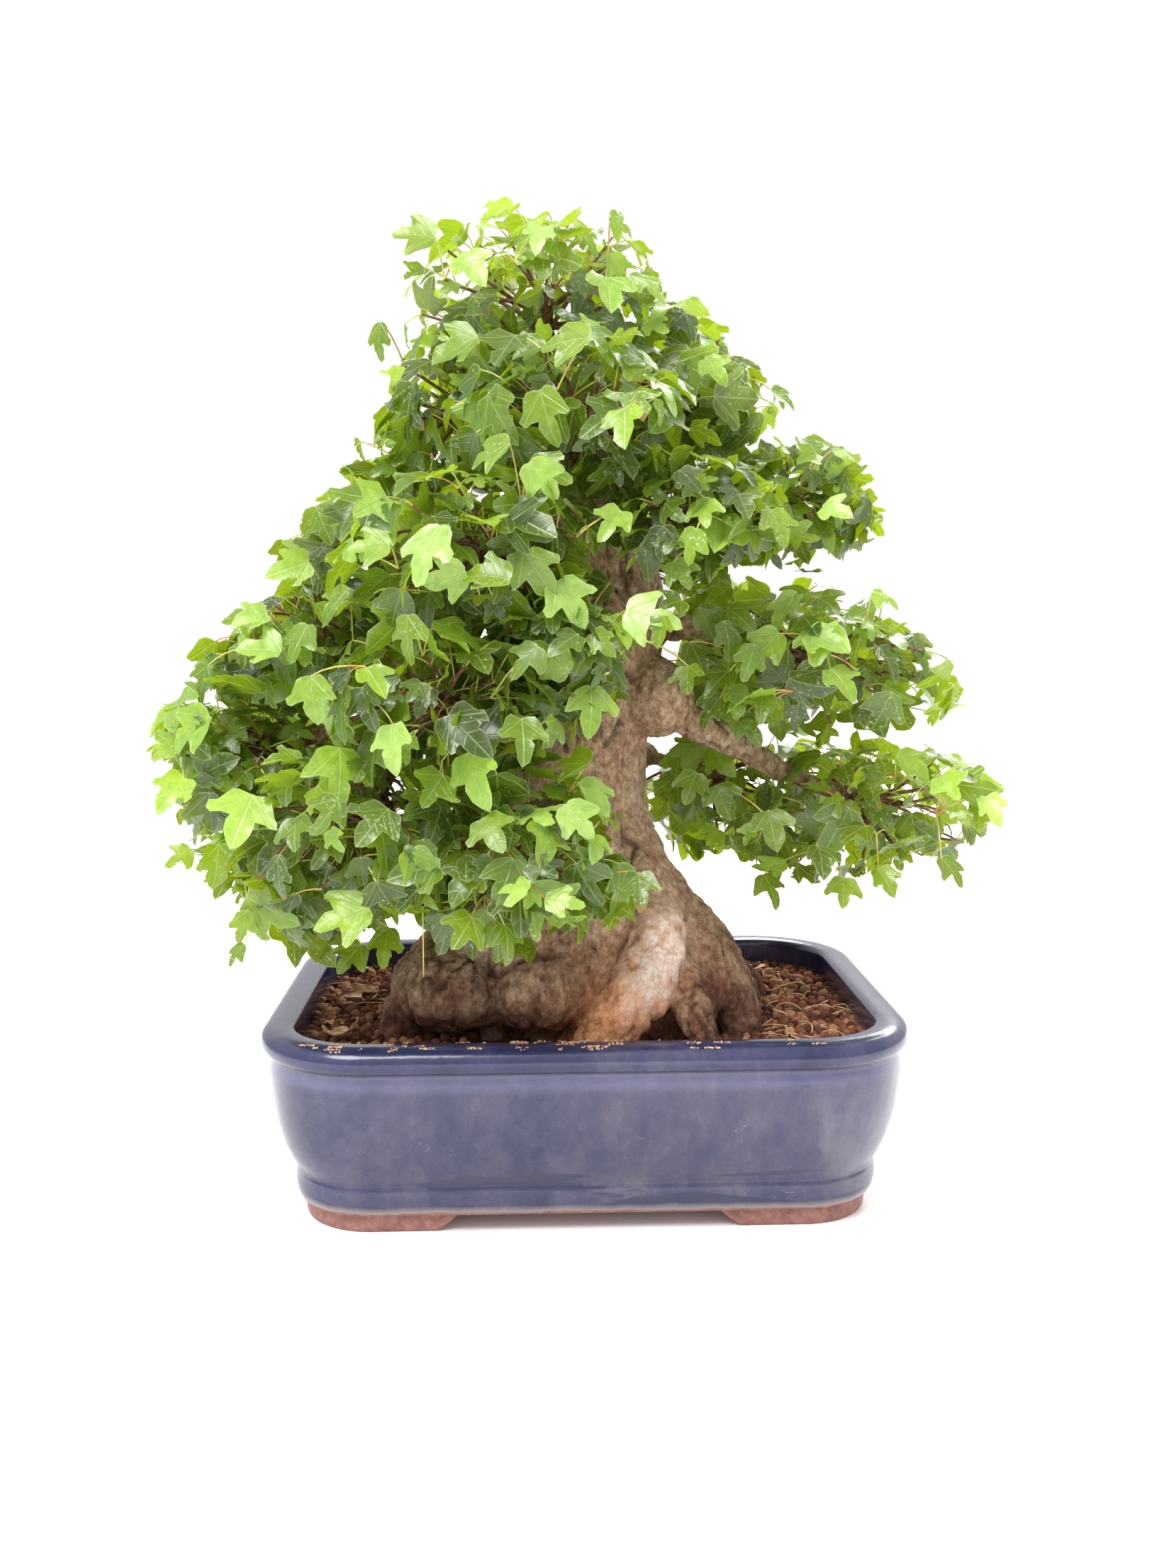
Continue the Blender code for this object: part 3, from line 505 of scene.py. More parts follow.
# Height, middle x, middle y, radius, reach of the root lobes
TRUNK_ROWS = [
    (ROOT_BOTTOM, FLARE_X, FLARE_Y, FLARE_RADIUS, FLARE_REACH),
    (ROOT_TOP, FLARE_X, FLARE_Y, FLARE_RADIUS, FLARE_REACH),
    (0.1080, -0.008, -0.014, 0.072, 0.041), (0.1150, -0.008, -0.014, 0.076, 0.037),
    (0.1250, -0.008, -0.013, 0.077, 0.032), (0.1390, -0.007, -0.012, 0.075, 0.027),
    (0.1560, -0.006, -0.010, 0.071, 0.020), (0.1760, -0.012, -0.008, 0.065, 0.014),
    (0.2000, -0.019, -0.006, 0.060, 0.009), (0.2270, -0.022, -0.004, 0.056, 0.006),
    (0.2570, -0.017, -0.002, 0.052, 0.004), (0.2900, -0.008, 0.000, 0.048, 0.004),
    (0.3270, 0.002, 0.000, 0.044, 0.003), (0.3660, 0.008, 0.000, 0.039, 0.003),
    (0.4050, 0.006, 0.000, 0.032, 0.002), (0.4430, 0.000, 0.000, 0.026, 0.001),
    (0.4780, -0.008, 0.000, 0.018, 0.000), (0.4880, -0.010, 0.000, 0.011, 0.000),
]
# Root lobes: compass angle in degrees, half width, strength, turn in degrees per metre of height
ROOT_LOBES = [
    (-71, 15, 0.35, 260), (-37, 11, 0.80, 120), (-8, 11, 1.15, 60), (17, 8, 0.90, 0),
    (54, 14, 0.60, 0), (92, 15, 0.65, 0), (130, 13, 0.75, 0), (162, 11, 0.95, 0),
    (-160, 14, 1.10, 0), (-134, 12, 0.62, 0), (-108, 12, 0.40, -60),
]
# Boughs: start, control and end points with the radius at each end
BOUGHS = [
    ((-0.020, -0.010, 0.268), (-0.070, -0.040, 0.300), (-0.128, -0.050, 0.286), 0.020, 0.0095),
    ((0.005, -0.004, 0.310), (0.078, -0.006, 0.279), (0.128, 0.002, 0.247), 0.016, 0.0062),
    ((0.008, 0.010, 0.330), (0.055, 0.004, 0.345), (0.098, -0.002, 0.336), 0.014, 0.0062),
    ((-0.010, 0.010, 0.232), (0.020, 0.070, 0.246), (0.052, 0.100, 0.250), 0.016, 0.0080),
    ((-0.020, 0.005, 0.262), (-0.070, 0.040, 0.285), (-0.112, 0.058, 0.276), 0.015, 0.0080),
    ((-0.020, -0.010, 0.262), (-0.052, -0.065, 0.282), (-0.058, -0.092, 0.268), 0.014, 0.0075),
]
# Surface roots that stand out of the flare: their points and the radius at each
ROOTS = [
    [(0.026, -0.030, 0.208, 0.013), (0.034, -0.048, 0.184, 0.016), (0.040, -0.067, 0.161, 0.019),
     (0.035, -0.082, 0.142, 0.020), (0.024, -0.094, 0.125, 0.018), (0.010, -0.101, 0.110, 0.016),
     (-0.001, -0.104, 0.096, 0.014), (-0.004, -0.104, 0.084, 0.012)],
    [(0.016, -0.014, 0.222, 0.014), (0.034, -0.026, 0.184, 0.016), (0.059, -0.040, 0.149, 0.018),
     (0.086, -0.050, 0.120, 0.017), (0.097, -0.052, 0.092, 0.012)],
    [(0.022, 0.006, 0.214, 0.009), (0.044, 0.016, 0.176, 0.010), (0.075, 0.024, 0.140, 0.010),
     (0.108, 0.032, 0.110, 0.008), (0.120, 0.035, 0.092, 0.006)],
    [(0.056, -0.066, 0.138, 0.011), (0.060, -0.082, 0.120, 0.011), (0.067, -0.094, 0.103, 0.010),
     (0.071, -0.099, 0.088, 0.008)],
    [(-0.070, -0.030, 0.150, 0.024), (-0.092, -0.044, 0.126, 0.022), (-0.108, -0.052, 0.108, 0.014),
     (-0.116, -0.056, 0.092, 0.010)],
    [(-0.060, 0.050, 0.140, 0.020), (-0.084, 0.066, 0.118, 0.018), (-0.100, 0.078, 0.094, 0.012)],
    [(0.030, 0.060, 0.150, 0.020), (0.046, 0.080, 0.122, 0.018), (0.056, 0.092, 0.094, 0.012)],
]
# Swellings of the old wood: middle and half sizes
SWELLINGS = [
    ((-0.079, -0.056, 0.128), (0.038, 0.042, 0.027)),
    ((-0.030, -0.067, 0.131), (0.031, 0.036, 0.027)),
    ((-0.108, -0.046, 0.113), (0.014, 0.016, 0.013)),
    ((-0.056, -0.054, 0.160), (0.026, 0.026, 0.026)),
    ((0.010, -0.056, 0.168), (0.022, 0.024, 0.024)),
    ((0.045, -0.020, 0.297), (0.023, 0.026, 0.024)),
    ((0.026, -0.028, 0.352), (0.014, 0.014, 0.022)),
    ((-0.084, 0.018, 0.122), (0.028, 0.034, 0.022)),
    ((0.074, 0.050, 0.116), (0.024, 0.022, 0.018)),
]
# The undercut of the front left mass: compass angle, half width, depth and height where it ends
UNDERCUT_ANGLE, UNDERCUT_WIDTH, UNDERCUT_DEPTH, UNDERCUT_TOP = -122, 34, 0.020, 0.113
UNDERCUT_FADE = 0.010
VOXEL = 0.00205
# The front root's slope, and on it the worn pale patch and the orange end: middle and half sizes
ROOT_SLOPE = (0.52, 0.85)
PALE_PATCH = (Vector((0.042, -0.092, 0.150)), (0.026, 0.0125, 0.030))
ORANGE_END = (Vector((0.016, -0.106, 0.110)), (0.046, 0.021, 0.040))
# Steps along, sides round and unevenness of a bough and of a branch, and steps between two points of
# a root with its sides and unevenness
BOUGH_SHAPE = (14, 20, 0.25)
BRANCH_SHAPE = (10, 14, 0.2)
ROOT_STEPS, ROOT_SIDES, ROOT_ROUGH = 5, 24, 0.15
# Relief of the bark: broad waves, lumps, upright strips, cracks, and the folds of the flare
WAVE_RISE = 0.0022
LUMP_RISE = 0.0014
STRIP_RISE = 0.0011
CRACK_DEPTH = 0.0030
FOLD_DEPTH = 0.0026


def lobe_share(angle, z):
    """How far the root lobes stand out at a compass angle, from 0 to a little over 1."""
    total = 0.0
    for place, width, strength, turn in ROOT_LOBES:
        off = (angle - place - turn * max(0.0, z - ROOT_TOP) + 180) % 360 - 180
        total = max(total, strength * math.exp(-((off / width) ** 2) * 0.8))
    return total


def trunk_ring(z, row, sides):
    """The trunk's outline at one height, with the clefts between its lobes."""
    x, y, radius, reach = row
    ring = []
    for i in range(sides):
        turn = math.tau * i / sides
        share = lobe_share(math.degrees(turn), z)
        cleft = 0.10 * reach * (1 - min(1.0, share * 1.3)) ** 2
        off = (math.degrees(turn) - UNDERCUT_ANGLE + 180) % 360 - 180
        cut = UNDERCUT_DEPTH * math.exp(-((off / UNDERCUT_WIDTH) ** 2))
        cut *= clamp((UNDERCUT_TOP - z) / UNDERCUT_FADE)
        r = radius + reach * share - cleft - cut
        ring.append((x + r * math.cos(turn), y + r * math.sin(turn), z))
    return ring


def outside_flare(x, y):
    """How far a point lies outside the root flare at the soil's level, less than 0 inside it."""
    turn = math.degrees(math.atan2(y - FLARE_Y, x - FLARE_X))
    return math.hypot(x - FLARE_X, y - FLARE_Y) - FLARE_RADIUS - FLARE_REACH * lobe_share(turn, ROOT_TOP)


def patch_share(point, middle, halves):
    """How much of a patch that lies along the front root a point gets, from 1 at its middle to 0."""
    off = point - middle
    along = off.x * ROOT_SLOPE[0] + off.z * ROOT_SLOPE[1]
    side = off.x * ROOT_SLOPE[1] - off.z * ROOT_SLOPE[0]
    return math.exp(-((along / halves[0]) ** 2 + (side / halves[1]) ** 2 + (off.y / halves[2]) ** 2))


def bend_points(start, control, end, count):
    """Points on the curve from start to end that leaves and arrives towards the control point."""
    start, control, end = Vector(start), Vector(control), Vector(end)
    ts = [i / count for i in range(count + 1)]
    return [start * (1 - t) ** 2 + control * 2 * t * (1 - t) + end * t * t for t in ts]


def tube_loops(route, radii, sides, rough):
    """Loops round a route of points, each with its own radius, for a round bar."""
    loops = []
    across = None
    for i, point in enumerate(route):
        ahead = (route[min(i + 1, len(route) - 1)] - route[max(i - 1, 0)]).normalized()
        across = ahead.orthogonal().normalized() if across is None else across
        across = (across - ahead * across.dot(ahead)).normalized()
        other = ahead.cross(across)
        loop = []
        for k in range(sides):
            turn = math.tau * k / sides
            out = across * math.cos(turn) + other * math.sin(turn)
            loop.append(point + out * radii[i] * (1 + rough * noise.noise(point * 40 + out * 1.5)))
        loops.append(loop)
    return loops


def limb(start, control, end, thick, thin, steps, sides, rough):
    """A round bar that bends and tapers from its start to its end."""
    radii = [thick + (thin - thick) * i / steps for i in range(steps + 1)]
    return loft(tube_loops(bend_points(start, control, end, steps), radii, sides, rough))


# Sprays: middle of the foliage, its half sizes with the leaves, the point its branch leaves from, and
# how far that branch arches up
SPRAYS = {
    "spray_apex": ((-0.018, 0.000, 0.540), (0.078, 0.070, 0.054), (-0.009, 0.0, 0.470), 0.000),
    "spray_crown_left": ((-0.074, -0.014, 0.468), (0.064, 0.062, 0.052), (0.000, 0.0, 0.425), 0.012),
    "spray_crown_right": ((0.062, 0.002, 0.480), (0.062, 0.062, 0.050), (0.000, 0.0, 0.425), 0.012),
    "spray_crown_front": ((-0.006, -0.080, 0.456), (0.070, 0.054, 0.054), (0.000, 0.0, 0.410), 0.012),
    "spray_crown_back": ((-0.006, 0.080, 0.456), (0.070, 0.052, 0.050), (0.000, 0.0, 0.410), 0.012),
    "spray_shoulder_left": ((-0.128, -0.010, 0.400), (0.070, 0.068, 0.048), (0.000, 0.0, 0.366), 0.012),
    "spray_shoulder_right": ((0.134, 0.006, 0.416), (0.068, 0.060, 0.040), (0.004, 0.0, 0.372), 0.012),
    "spray_shoulder_front": ((-0.062, -0.116, 0.380), (0.074, 0.056, 0.050), (0.000, 0.0, 0.356), 0.012),
    "spray_shoulder_near": ((0.060, -0.086, 0.398), (0.054, 0.046, 0.036), (0.008, 0.0, 0.384), 0.008),
    "spray_shoulder_back": ((0.020, 0.118, 0.382), (0.086, 0.054, 0.046), (0.004, 0.0, 0.356), 0.012),
    "spray_mid_left": ((-0.166, -0.048, 0.332), (0.066, 0.064, 0.044), (-0.085, -0.043, 0.292), 0.010),
    "spray_mid_left_back": ((-0.140, 0.080, 0.330), (0.074, 0.060, 0.044), (-0.075, 0.040, 0.278), 0.010),
    "spray_mid_front": ((-0.080, -0.132, 0.300), (0.070, 0.052, 0.046), (-0.046, -0.058, 0.274), 0.010),
    "spray_mid_near": ((-0.004, -0.118, 0.334), (0.050, 0.040, 0.034), (0.000, -0.004, 0.320), 0.004),
    "spray_mid_right": ((0.172, -0.014, 0.316), (0.074, 0.062, 0.042), (0.086, 0.000, 0.338), 0.000),
    "spray_mid_right_back": ((0.126, 0.096, 0.322), (0.078, 0.056, 0.044), (0.050, 0.008, 0.342), 0.004),
    "spray_low_left": ((-0.207, -0.050, 0.262), (0.064, 0.064, 0.046), (-0.112, -0.049, 0.290), 0.000),
    "spray_low_left_near": ((-0.122, -0.122, 0.232), (0.072, 0.056, 0.048), (-0.100, -0.048, 0.290), 0.0),
    "spray_low_left_hang": ((-0.180, -0.074, 0.182), (0.062, 0.052, 0.044), (-0.124, -0.050, 0.287), -0.014),
    "spray_low_front": ((-0.042, -0.132, 0.216), (0.066, 0.048, 0.050), (-0.056, -0.084, 0.270), 0.000),
    "spray_low_left_back": ((-0.186, 0.064, 0.252), (0.072, 0.064, 0.046), (-0.100, 0.056, 0.278), 0.000),
    "spray_low_right": ((0.206, 0.000, 0.216), (0.072, 0.062, 0.040), (0.114, 0.000, 0.254), 0.000),
    "spray_low_right_back": ((0.130, 0.100, 0.232), (0.080, 0.060, 0.042), (0.044, 0.096, 0.249), 0.000),
    "spray_mid_back": ((0.012, 0.112, 0.312), (0.064, 0.046, 0.038), (0.000, 0.004, 0.298), 0.006),
    "spray_low_back": ((-0.046, 0.136, 0.262), (0.080, 0.052, 0.048), (0.004, 0.062, 0.240), 0.004),
}
CORE_INSET = (0.023, 0.021, 0.016)
STEM_SHOWN = 0.008
BRANCH_TIP_RADIUS = 0.0042
# How much thicker a branch is at its start for each metre of its length
BRANCH_TAPER = 0.035


def spray_seat(name):
    """Start, control and end of the spray's branch, and the way it points at its end."""
    middle, halves, start, rise = SPRAYS[name]
    middle, start = Vector(middle), Vector(start)
    control = start.lerp(middle, 0.45) + Vector((0, 0, rise))
    ahead = (middle - control).normalized()
    core = [half - inset for half, inset in zip(halves, CORE_INSET)]
    reach = 1 / math.sqrt(sum((a / half) ** 2 for a, half in zip(ahead, core)))
    return start, control, middle - ahead * (reach + STEM_SHOWN), ahead


# The trunk's rows, filled in between the given heights and smoothed
heights = np.arange(ROOT_BOTTOM, TRUNK_TOP, TRUNK_STEP)
columns = np.array(TRUNK_ROWS).T
rows = np.array([np.interp(heights, columns[0], column) for column in columns[1:]])
kernel = np.hanning(9)[1:-1] / np.hanning(9)[1:-1].sum()
rows = np.array([np.convolve(np.pad(row, 3, "edge"), kernel, "valid") for row in rows]).T
wood_parts = [loft([trunk_ring(z, row, TRUNK_SIDES) for z, row in zip(heights, rows)])]
for bough in BOUGHS:
    wood_parts.append(limb(*bough, *BOUGH_SHAPE))
for name in SPRAYS:
    start, control, end, _ = spray_seat(name)
    base = BRANCH_TIP_RADIUS + BRANCH_TAPER * (end - start).length
    wood_parts.append(limb(start, control, end, base, BRANCH_TIP_RADIUS, *BRANCH_SHAPE))
for root in ROOTS:
    knots = [Vector(p) for p in root]
    route = rounded_rows([k[:3] for k in knots], ROOT_STEPS)
    radii = [r[0] for r in rounded_rows([(k[3], 0.0) for k in knots], ROOT_STEPS)]
    wood_parts.append(loft(tube_loops(route, radii, ROOT_SIDES, ROOT_ROUGH)))
for centre, halves in SWELLINGS:
    ball = bmesh.new()
    bmesh.ops.create_icosphere(ball, subdivisions=4, radius=1)
    spots = [Vector([c + h * v for c, h, v in zip(centre, halves, vertex.co)]) for vertex in ball.verts]
    wood_parts.append((spots, [tuple(v.index for v in face.verts) for face in ball.faces]))
    ball.free()
points, faces = [], []
for part_points, part_faces in wood_parts:
    faces += [tuple(i + len(points) for i in face) for face in part_faces]
    points += [Vector(p) + POT_PLACE for p in part_points]
wood = add_piece("wood", points, faces)
# One skin over all the parts, as wood that has grown together
skin = wood.modifiers.new("skin", "REMESH")
skin.mode = "VOXEL"
skin.voxel_size = VOXEL
soften = wood.modifiers.new("soften", "SMOOTH")
soften.factor = 0.5
soften.iterations = 5
bake_modifiers(wood)

# The bark's relief, with marks that its colours follow: painted shade in the hollows, the worn pale
# patch, the warm colour near the soil and the orange end of the front root
count = len(wood.data.vertices)
normals = np.zeros(count * 3)
wood.data.vertex_normals.foreach_get("vector", normals)
normals = normals.reshape(-1, 3)
hollow, pale, warm, orange = (np.zeros(count) for _ in range(4))
moved = np.zeros((count, 3))
for i, vertex in enumerate(wood.data.vertices):
    p = vertex.co - POT_PLACE
    # Waves are 30 mm across, lumps 8 mm, and strips 3 mm and twice as tall
    waves = noise.noise(p * 34 + Vector((3, 1, 7)))
    lumps = noise.noise(Vector((p.x * 120, p.y * 120, p.z * 85)))
    strips = noise.noise(Vector((p.x * 300, p.y * 300, p.z * 150)))
    wander = Vector((noise.noise(p * 45), noise.noise(p * 45 + Vector((9, 0, 0))), 0)) * 0.35
    split = Vector((p.x * 78, p.y * 78, p.z * 26 + 9)) + wander
    cracks = max(0.0, 1 - abs(noise.noise(split)) * 9.0)
    cracks *= clamp(0.15 + 2.2 * noise.noise(p * 24 + Vector((0, 5, 0))))
    worn = min(1.0, patch_share(p, *PALE_PATCH) * 2.8 * (0.70 + 0.9 * noise.noise(p * 130)))
    # Thin branches have a shallower relief, and only the flare has folds
    slim = min(1.0, max(0.25, 1.4 - math.hypot(p.x, p.y) / 0.12)) if p.z > 0.21 else 1.0
    flare = clamp((0.178 - p.z) / 0.03)
    fold = max(0.0, 1 - abs(noise.noise(Vector((p.x * 36, p.y * 36, p.z * 14 + 4)))) * 10.0)
    fold *= flare * (1 - worn)
    lift = WAVE_RISE * waves + LUMP_RISE * lumps + STRIP_RISE * strips - CRACK_DEPTH * cracks * (1 - worn)
    moved[i] = vertex.co + Vector(normals[i]) * (lift * slim - FOLD_DEPTH * fold)
    pale[i] = worn
    orange[i] = min(1.0, patch_share(p, *ORANGE_END) * 2.8 * (0.85 + 0.5 * noise.noise(p * 80)))
    # Painted shade: hollows, cracks and folds get a mark that darkens their colour
    hollow[i] = clamp(0.10 + cracks + 0.7 * fold - strips * 0.40 - lumps * 0.40)
    hollow[i] *= (1 - 0.8 * worn) * (1 - 0.6 * orange[i])
    low = max(0.0, 1 - max(0.0, p.z - 0.108) / 0.075)
    warm[i] = clamp(1.05 * low * (0.9 + 0.9 * noise.noise(p * 48)) - 0.6 * worn)
wood.data.vertices.foreach_set("co", moved.ravel())
for name, values in (("hollow", hollow), ("pale", pale), ("warm", warm), ("orange", orange)):
    layer = wood.data.attributes.new(name, "FLOAT", "POINT")
    layer.data.foreach_set("value", values)
wood.data.shade_smooth()

# Maple bark: dull and grey-brown in small plates, red-brown near the soil where it stays damp
bark, tree, shader, place = new_finish("fissured_maple_bark")
marks = {}
for name in ("hollow", "pale", "warm", "orange"):
    marks[name] = add_node(tree, "ShaderNodeAttribute", attribute_name=name).outputs["Fac"]
upright = add_node(tree, "ShaderNodeMapping", {"Vector": place, "Scale": (1.0, 1.0, 0.72)})
plates = add_node(
    tree, "ShaderNodeTexNoise",
    {"Vector": upright.outputs[0], "Scale": spaced(4.35), "Detail": 10.0, "Roughness": 0.74},
)
patches = add_node(
    tree, "ShaderNodeTexNoise", {"Vector": place, "Scale": spaced(41.7), "Detail": 5.0, "Roughness": 0.6}
)
pale_noise = add_node(tree, "ShaderNodeTexNoise", {"Vector": place, "Scale": spaced(3.03), "Detail": 5.0})
shades = {}
for name, pattern, stops in (
    ("plates", plates, ((0.36, "4C3526"), (0.66, "FCEAD2"), (0.45, "A07C5A"), (0.54, "D6B48E"))),
    ("patches", patches, ((0.34, "9E765C"), (0.68, "D8C8B0"), (0.52, "C8A584"))),
    ("warm", plates, ((0.36, "4A2F25"), (0.66, "A0725A"), (0.49, "6F4A3A"))),
    ("orange", plates, ((0.36, "BE6238"), (0.62, "FFC490"))),
    ("pale", pale_noise, ((0.35, "DDB69E"), (0.66, "FBEBDD"))),
):
    shade = add_node(tree, "ShaderNodeValToRGB", {0: pattern.outputs["Fac"]}, stops=stops)
    shades[name] = shade.outputs[0]
# Fine net of cracks between the bark's plates, stretched along the trunk
crack_wave = add_node(tree, "ShaderNodeTexNoise", {"Vector": place, "Scale": spaced(16.7), "Detail": 3.0})
crack_bend = add_node(
    tree, "ShaderNodeVectorMath", {0: crack_wave.outputs["Color"], "Scale": 0.016}, operation="SCALE"
)
crack_place = add_node(
    tree, "ShaderNodeVectorMath", {0: upright.outputs[0], 1: crack_bend.outputs[0]}, operation="ADD"
)
crack_net = add_node(
    tree, "ShaderNodeTexVoronoi", {"Vector": crack_place.outputs[0], "Scale": spaced(6.67)},
    feature="DISTANCE_TO_EDGE",
)
crack_line = add_node(
    tree, "ShaderNodeMapRange", {0: crack_net.outputs["Distance"], 1: 0.0, 2: 0.10, 3: 0.36, 4: 0.0}
)
crack_where = add_node(
    tree, "ShaderNodeMapRange", {0: patches.outputs["Fac"], 1: 0.42, 2: 0.60, 3: 0.05, 4: 1.0}
)
crack_share = add_node(
    tree, "ShaderNodeMath", {0: crack_line.outputs[0], 1: crack_where.outputs[0]}, operation="MULTIPLY"
)
# Painted shade: the bark is coloured darker in its hollows, cracks and folds
painted_hollow_shade = add_node(tree, "ShaderNodeMapRange", {0: marks["hollow"], 1: 0.26, 2: 0.95, 3: 0.0, 4: 0.66})
colour = shades["plates"]
for share, coat in (
    (0.45, shades["patches"]), (marks["warm"], shades["warm"]),
    (crack_share.outputs[0], hex_colour("3E2A1E")), (marks["orange"], shades["orange"]),
    (marks["pale"], shades["pale"]), (painted_hollow_shade.outputs[0], hex_colour("46301F")),
):
    coated = add_node(tree, "ShaderNodeMix", {0: share, 6: colour, 7: coat}, data_type="RGBA")
    colour = coated.outputs[2]
tree.links.new(colour, shader.inputs["Base Color"])
shader.inputs["Roughness"].default_value = 0.88
shader.inputs["Specular IOR Level"].default_value = 0.3
relief = add_node(
    tree, "ShaderNodeBump", {"Strength": 1.0, "Distance": 0.0030, "Height": plates.outputs["Fac"]}
)
tree.links.new(relief.outputs[0], shader.inputs["Normal"])
wood.data.materials.clear()
wood.data.materials.append(bark)
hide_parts("trunk")
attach(wood, "root")


# Soil: baked clay granules 5 to 8 mm across, red-brown, strewn over a lumpy bed that fills the pot
# to under its rim round the roots. Crumbs of dried lime and grit stick to the rim's top.
SOIL_LEVEL = 0.0955
# How high the soil rises round the trunk, and how high its lumps are
SOIL_MOUND = 0.0030
SOIL_LUMP = 0.0012
SOIL_SEED = 11
SOIL_RINGS = 26
SOIL_CORNER_STEPS = 8
# Inset from the rim's outline and height, up the pot's inner wall from its floor
SOIL_SIDE = [(0.0404, 0.0226), (0.0325, 0.0343), (0.0275, 0.0503), (0.0210, 0.0803)]
WALL_CLEARANCE = 0.0004
# The bed lies a little under the soil's level, and the granules' middles lie on it
BED_DROP = 0.0018
# The bed's dark tint is painted shade in the gaps between the granules
BED_SHADE_TINT = 0.12
GRANULE_SPACING = 0.0052
GRANULE_SIZES = (0.0050, 0.0084)
GRANULE_HEAVE = 0.0016
GRANULE_SHAPES = 4
CRUMB_SEED = 8
CRUMB_SPACING = 0.0005
CRUMB_SIZES = (0.0004, 0.0013)
CRUMB_HEAVE = 0.0002
# Start and end along the front rim from the pot's middle, and how many patches of crumbs between them
CRUMB_RUNS = [
    (-0.160, -0.118, 12), (-0.112, -0.084, 7), (-0.044, 0.018, 30), (0.03, 0.13, 9), (-0.09, -0.05, 3),
]
# Insets from the rim's outline that a patch of crumbs may lie at
CRUMB_INSETS = (0.0180, 0.0160, 0.0135, 0.0100, 0.0070, 0.0050)


def soil_height(x, y):
    """Height of the soil's lumps, from waves that cross each other, in the pot's own measures."""
    coarse = math.sin(x * 190 + 2 * math.sin(y * 160)) * math.cos(y * 215 + 1.3)
    mound = SOIL_MOUND * math.exp(-((x + 0.008) ** 2 + (y + 0.01) ** 2) / 0.018)
    return SOIL_LEVEL + mound + SOIL_LUMP * coarse


# Baked clay: dull and grainy, each granule with its own shade of red-brown
soil_finish, tree, shader, place = new_finish("baked_clay_granules")
crumb = add_node(
    tree, "ShaderNodeTexNoise", {"Vector": place, "Scale": spaced(1.61), "Detail": 6.0, "Roughness": 0.7}
)
tint = add_node(tree, "ShaderNodeAttribute", attribute_name="tint")
tone = add_node(
    tree, "ShaderNodeValToRGB", {0: tint.outputs["Fac"]},
    stops=((0.0, "4E3024"), (1.0, "C89470"), (0.35, "7A4C38"), (0.70, "99634A")),
)
crumb_shade = add_node(
    tree, "ShaderNodeValToRGB", {0: crumb.outputs["Fac"]}, stops=((0.28, "8C8C8C"), (0.66, "FFFFFF"))
)
mottled = add_node(
    tree, "ShaderNodeMix", {0: 0.8, 6: tone.outputs[0], 7: crumb_shade.outputs[0]},
    data_type="RGBA", blend_type="MULTIPLY",
)
tree.links.new(mottled.outputs[2], shader.inputs["Base Color"])
shader.inputs["Roughness"].default_value = 0.95
shader.inputs["Specular IOR Level"].default_value = 0.2
relief = add_node(
    tree, "ShaderNodeBump", {"Strength": 0.8, "Distance": 0.0006, "Height": crumb.outputs["Fac"]}
)
tree.links.new(relief.outputs[0], shader.inputs["Normal"])

soil_loops = [rim_outline(inset, z, SOIL_CORNER_STEPS) for inset, z in SOIL_SIDE]
edge = rim_outline(RIM_WIDTH + WALL_CLEARANCE, 0.0, SOIL_CORNER_STEPS)
for ring in range(SOIL_RINGS):
    share = 1 - ring / SOIL_RINGS
    loop = []
    for p in edge:
        x, y = (p.x - POT_PLACE.x) * share, (p.y - POT_PLACE.y) * share
        loop.append(POT_PLACE + Vector((x, y, soil_height(x, y) - BED_DROP)))
    soil_loops.append(loop)
soil = add_piece("soil_bed", *loft(soil_loops), soil_finish)
soil.data.shade_smooth()
# Painted shade: the bed takes a dark tint where it shows between the granules
layer = soil.data.attributes.new("tint", "FLOAT", "POINT")
layer.data.foreach_set("value", np.full(len(soil.data.vertices), BED_SHADE_TINT))

# The granules are strewn over the top of the bed, outside the trunk and clear of the wall
strew = bmesh.new()
strew.from_mesh(soil.data)
hidden = []
for face in strew.faces:
    p = face.calc_center_median() - POT_PLACE
    shown = face.normal.z > 0.5 and p.z > 0.085 and outside_flare(p.x, p.y) >= -0.006
    if not shown:
        hidden.append(face)
bmesh.ops.delete(strew, geom=hidden, context="FACES")
bed_top = bpy.data.meshes.new("bed_top")
strew.to_mesh(bed_top)
strew.free()

granule_group = bpy.data.collections.new("granules")
for k in range(GRANULE_SHAPES):
    grain = bmesh.new()
    bmesh.ops.create_cube(grain, size=1.0)
    bmesh.ops.subdivide_edges(grain, edges=grain.edges, cuts=1, use_grid_fill=True)
    for vertex in grain.verts:
        way = vertex.co.normalized()
        vertex.co = way * (0.5 + 0.16 * noise.noise(way * 1.4 + Vector((k * 7.3, 0, 0))))
        vertex.co.z *= 0.86
    mesh = bpy.data.meshes.new("granule")
    grain.to_mesh(mesh)
    grain.free()
    mesh.shade_smooth()
    granule_group.objects.link(bpy.data.objects.new("granule_%d" % k, mesh))


def named_inputs(group, kinds):
    """Gives a geometry tree its output and its named inputs, and tells what identifies each input."""
    found = {}
    for label, kind in kinds.items():
        socket = group.interface.new_socket(label, in_out="INPUT", socket_type="NodeSocket" + kind)
        found[label] = socket.identifier
    group.interface.new_socket("Geometry", in_out="OUTPUT", socket_type="NodeSocketGeometry")
    return found


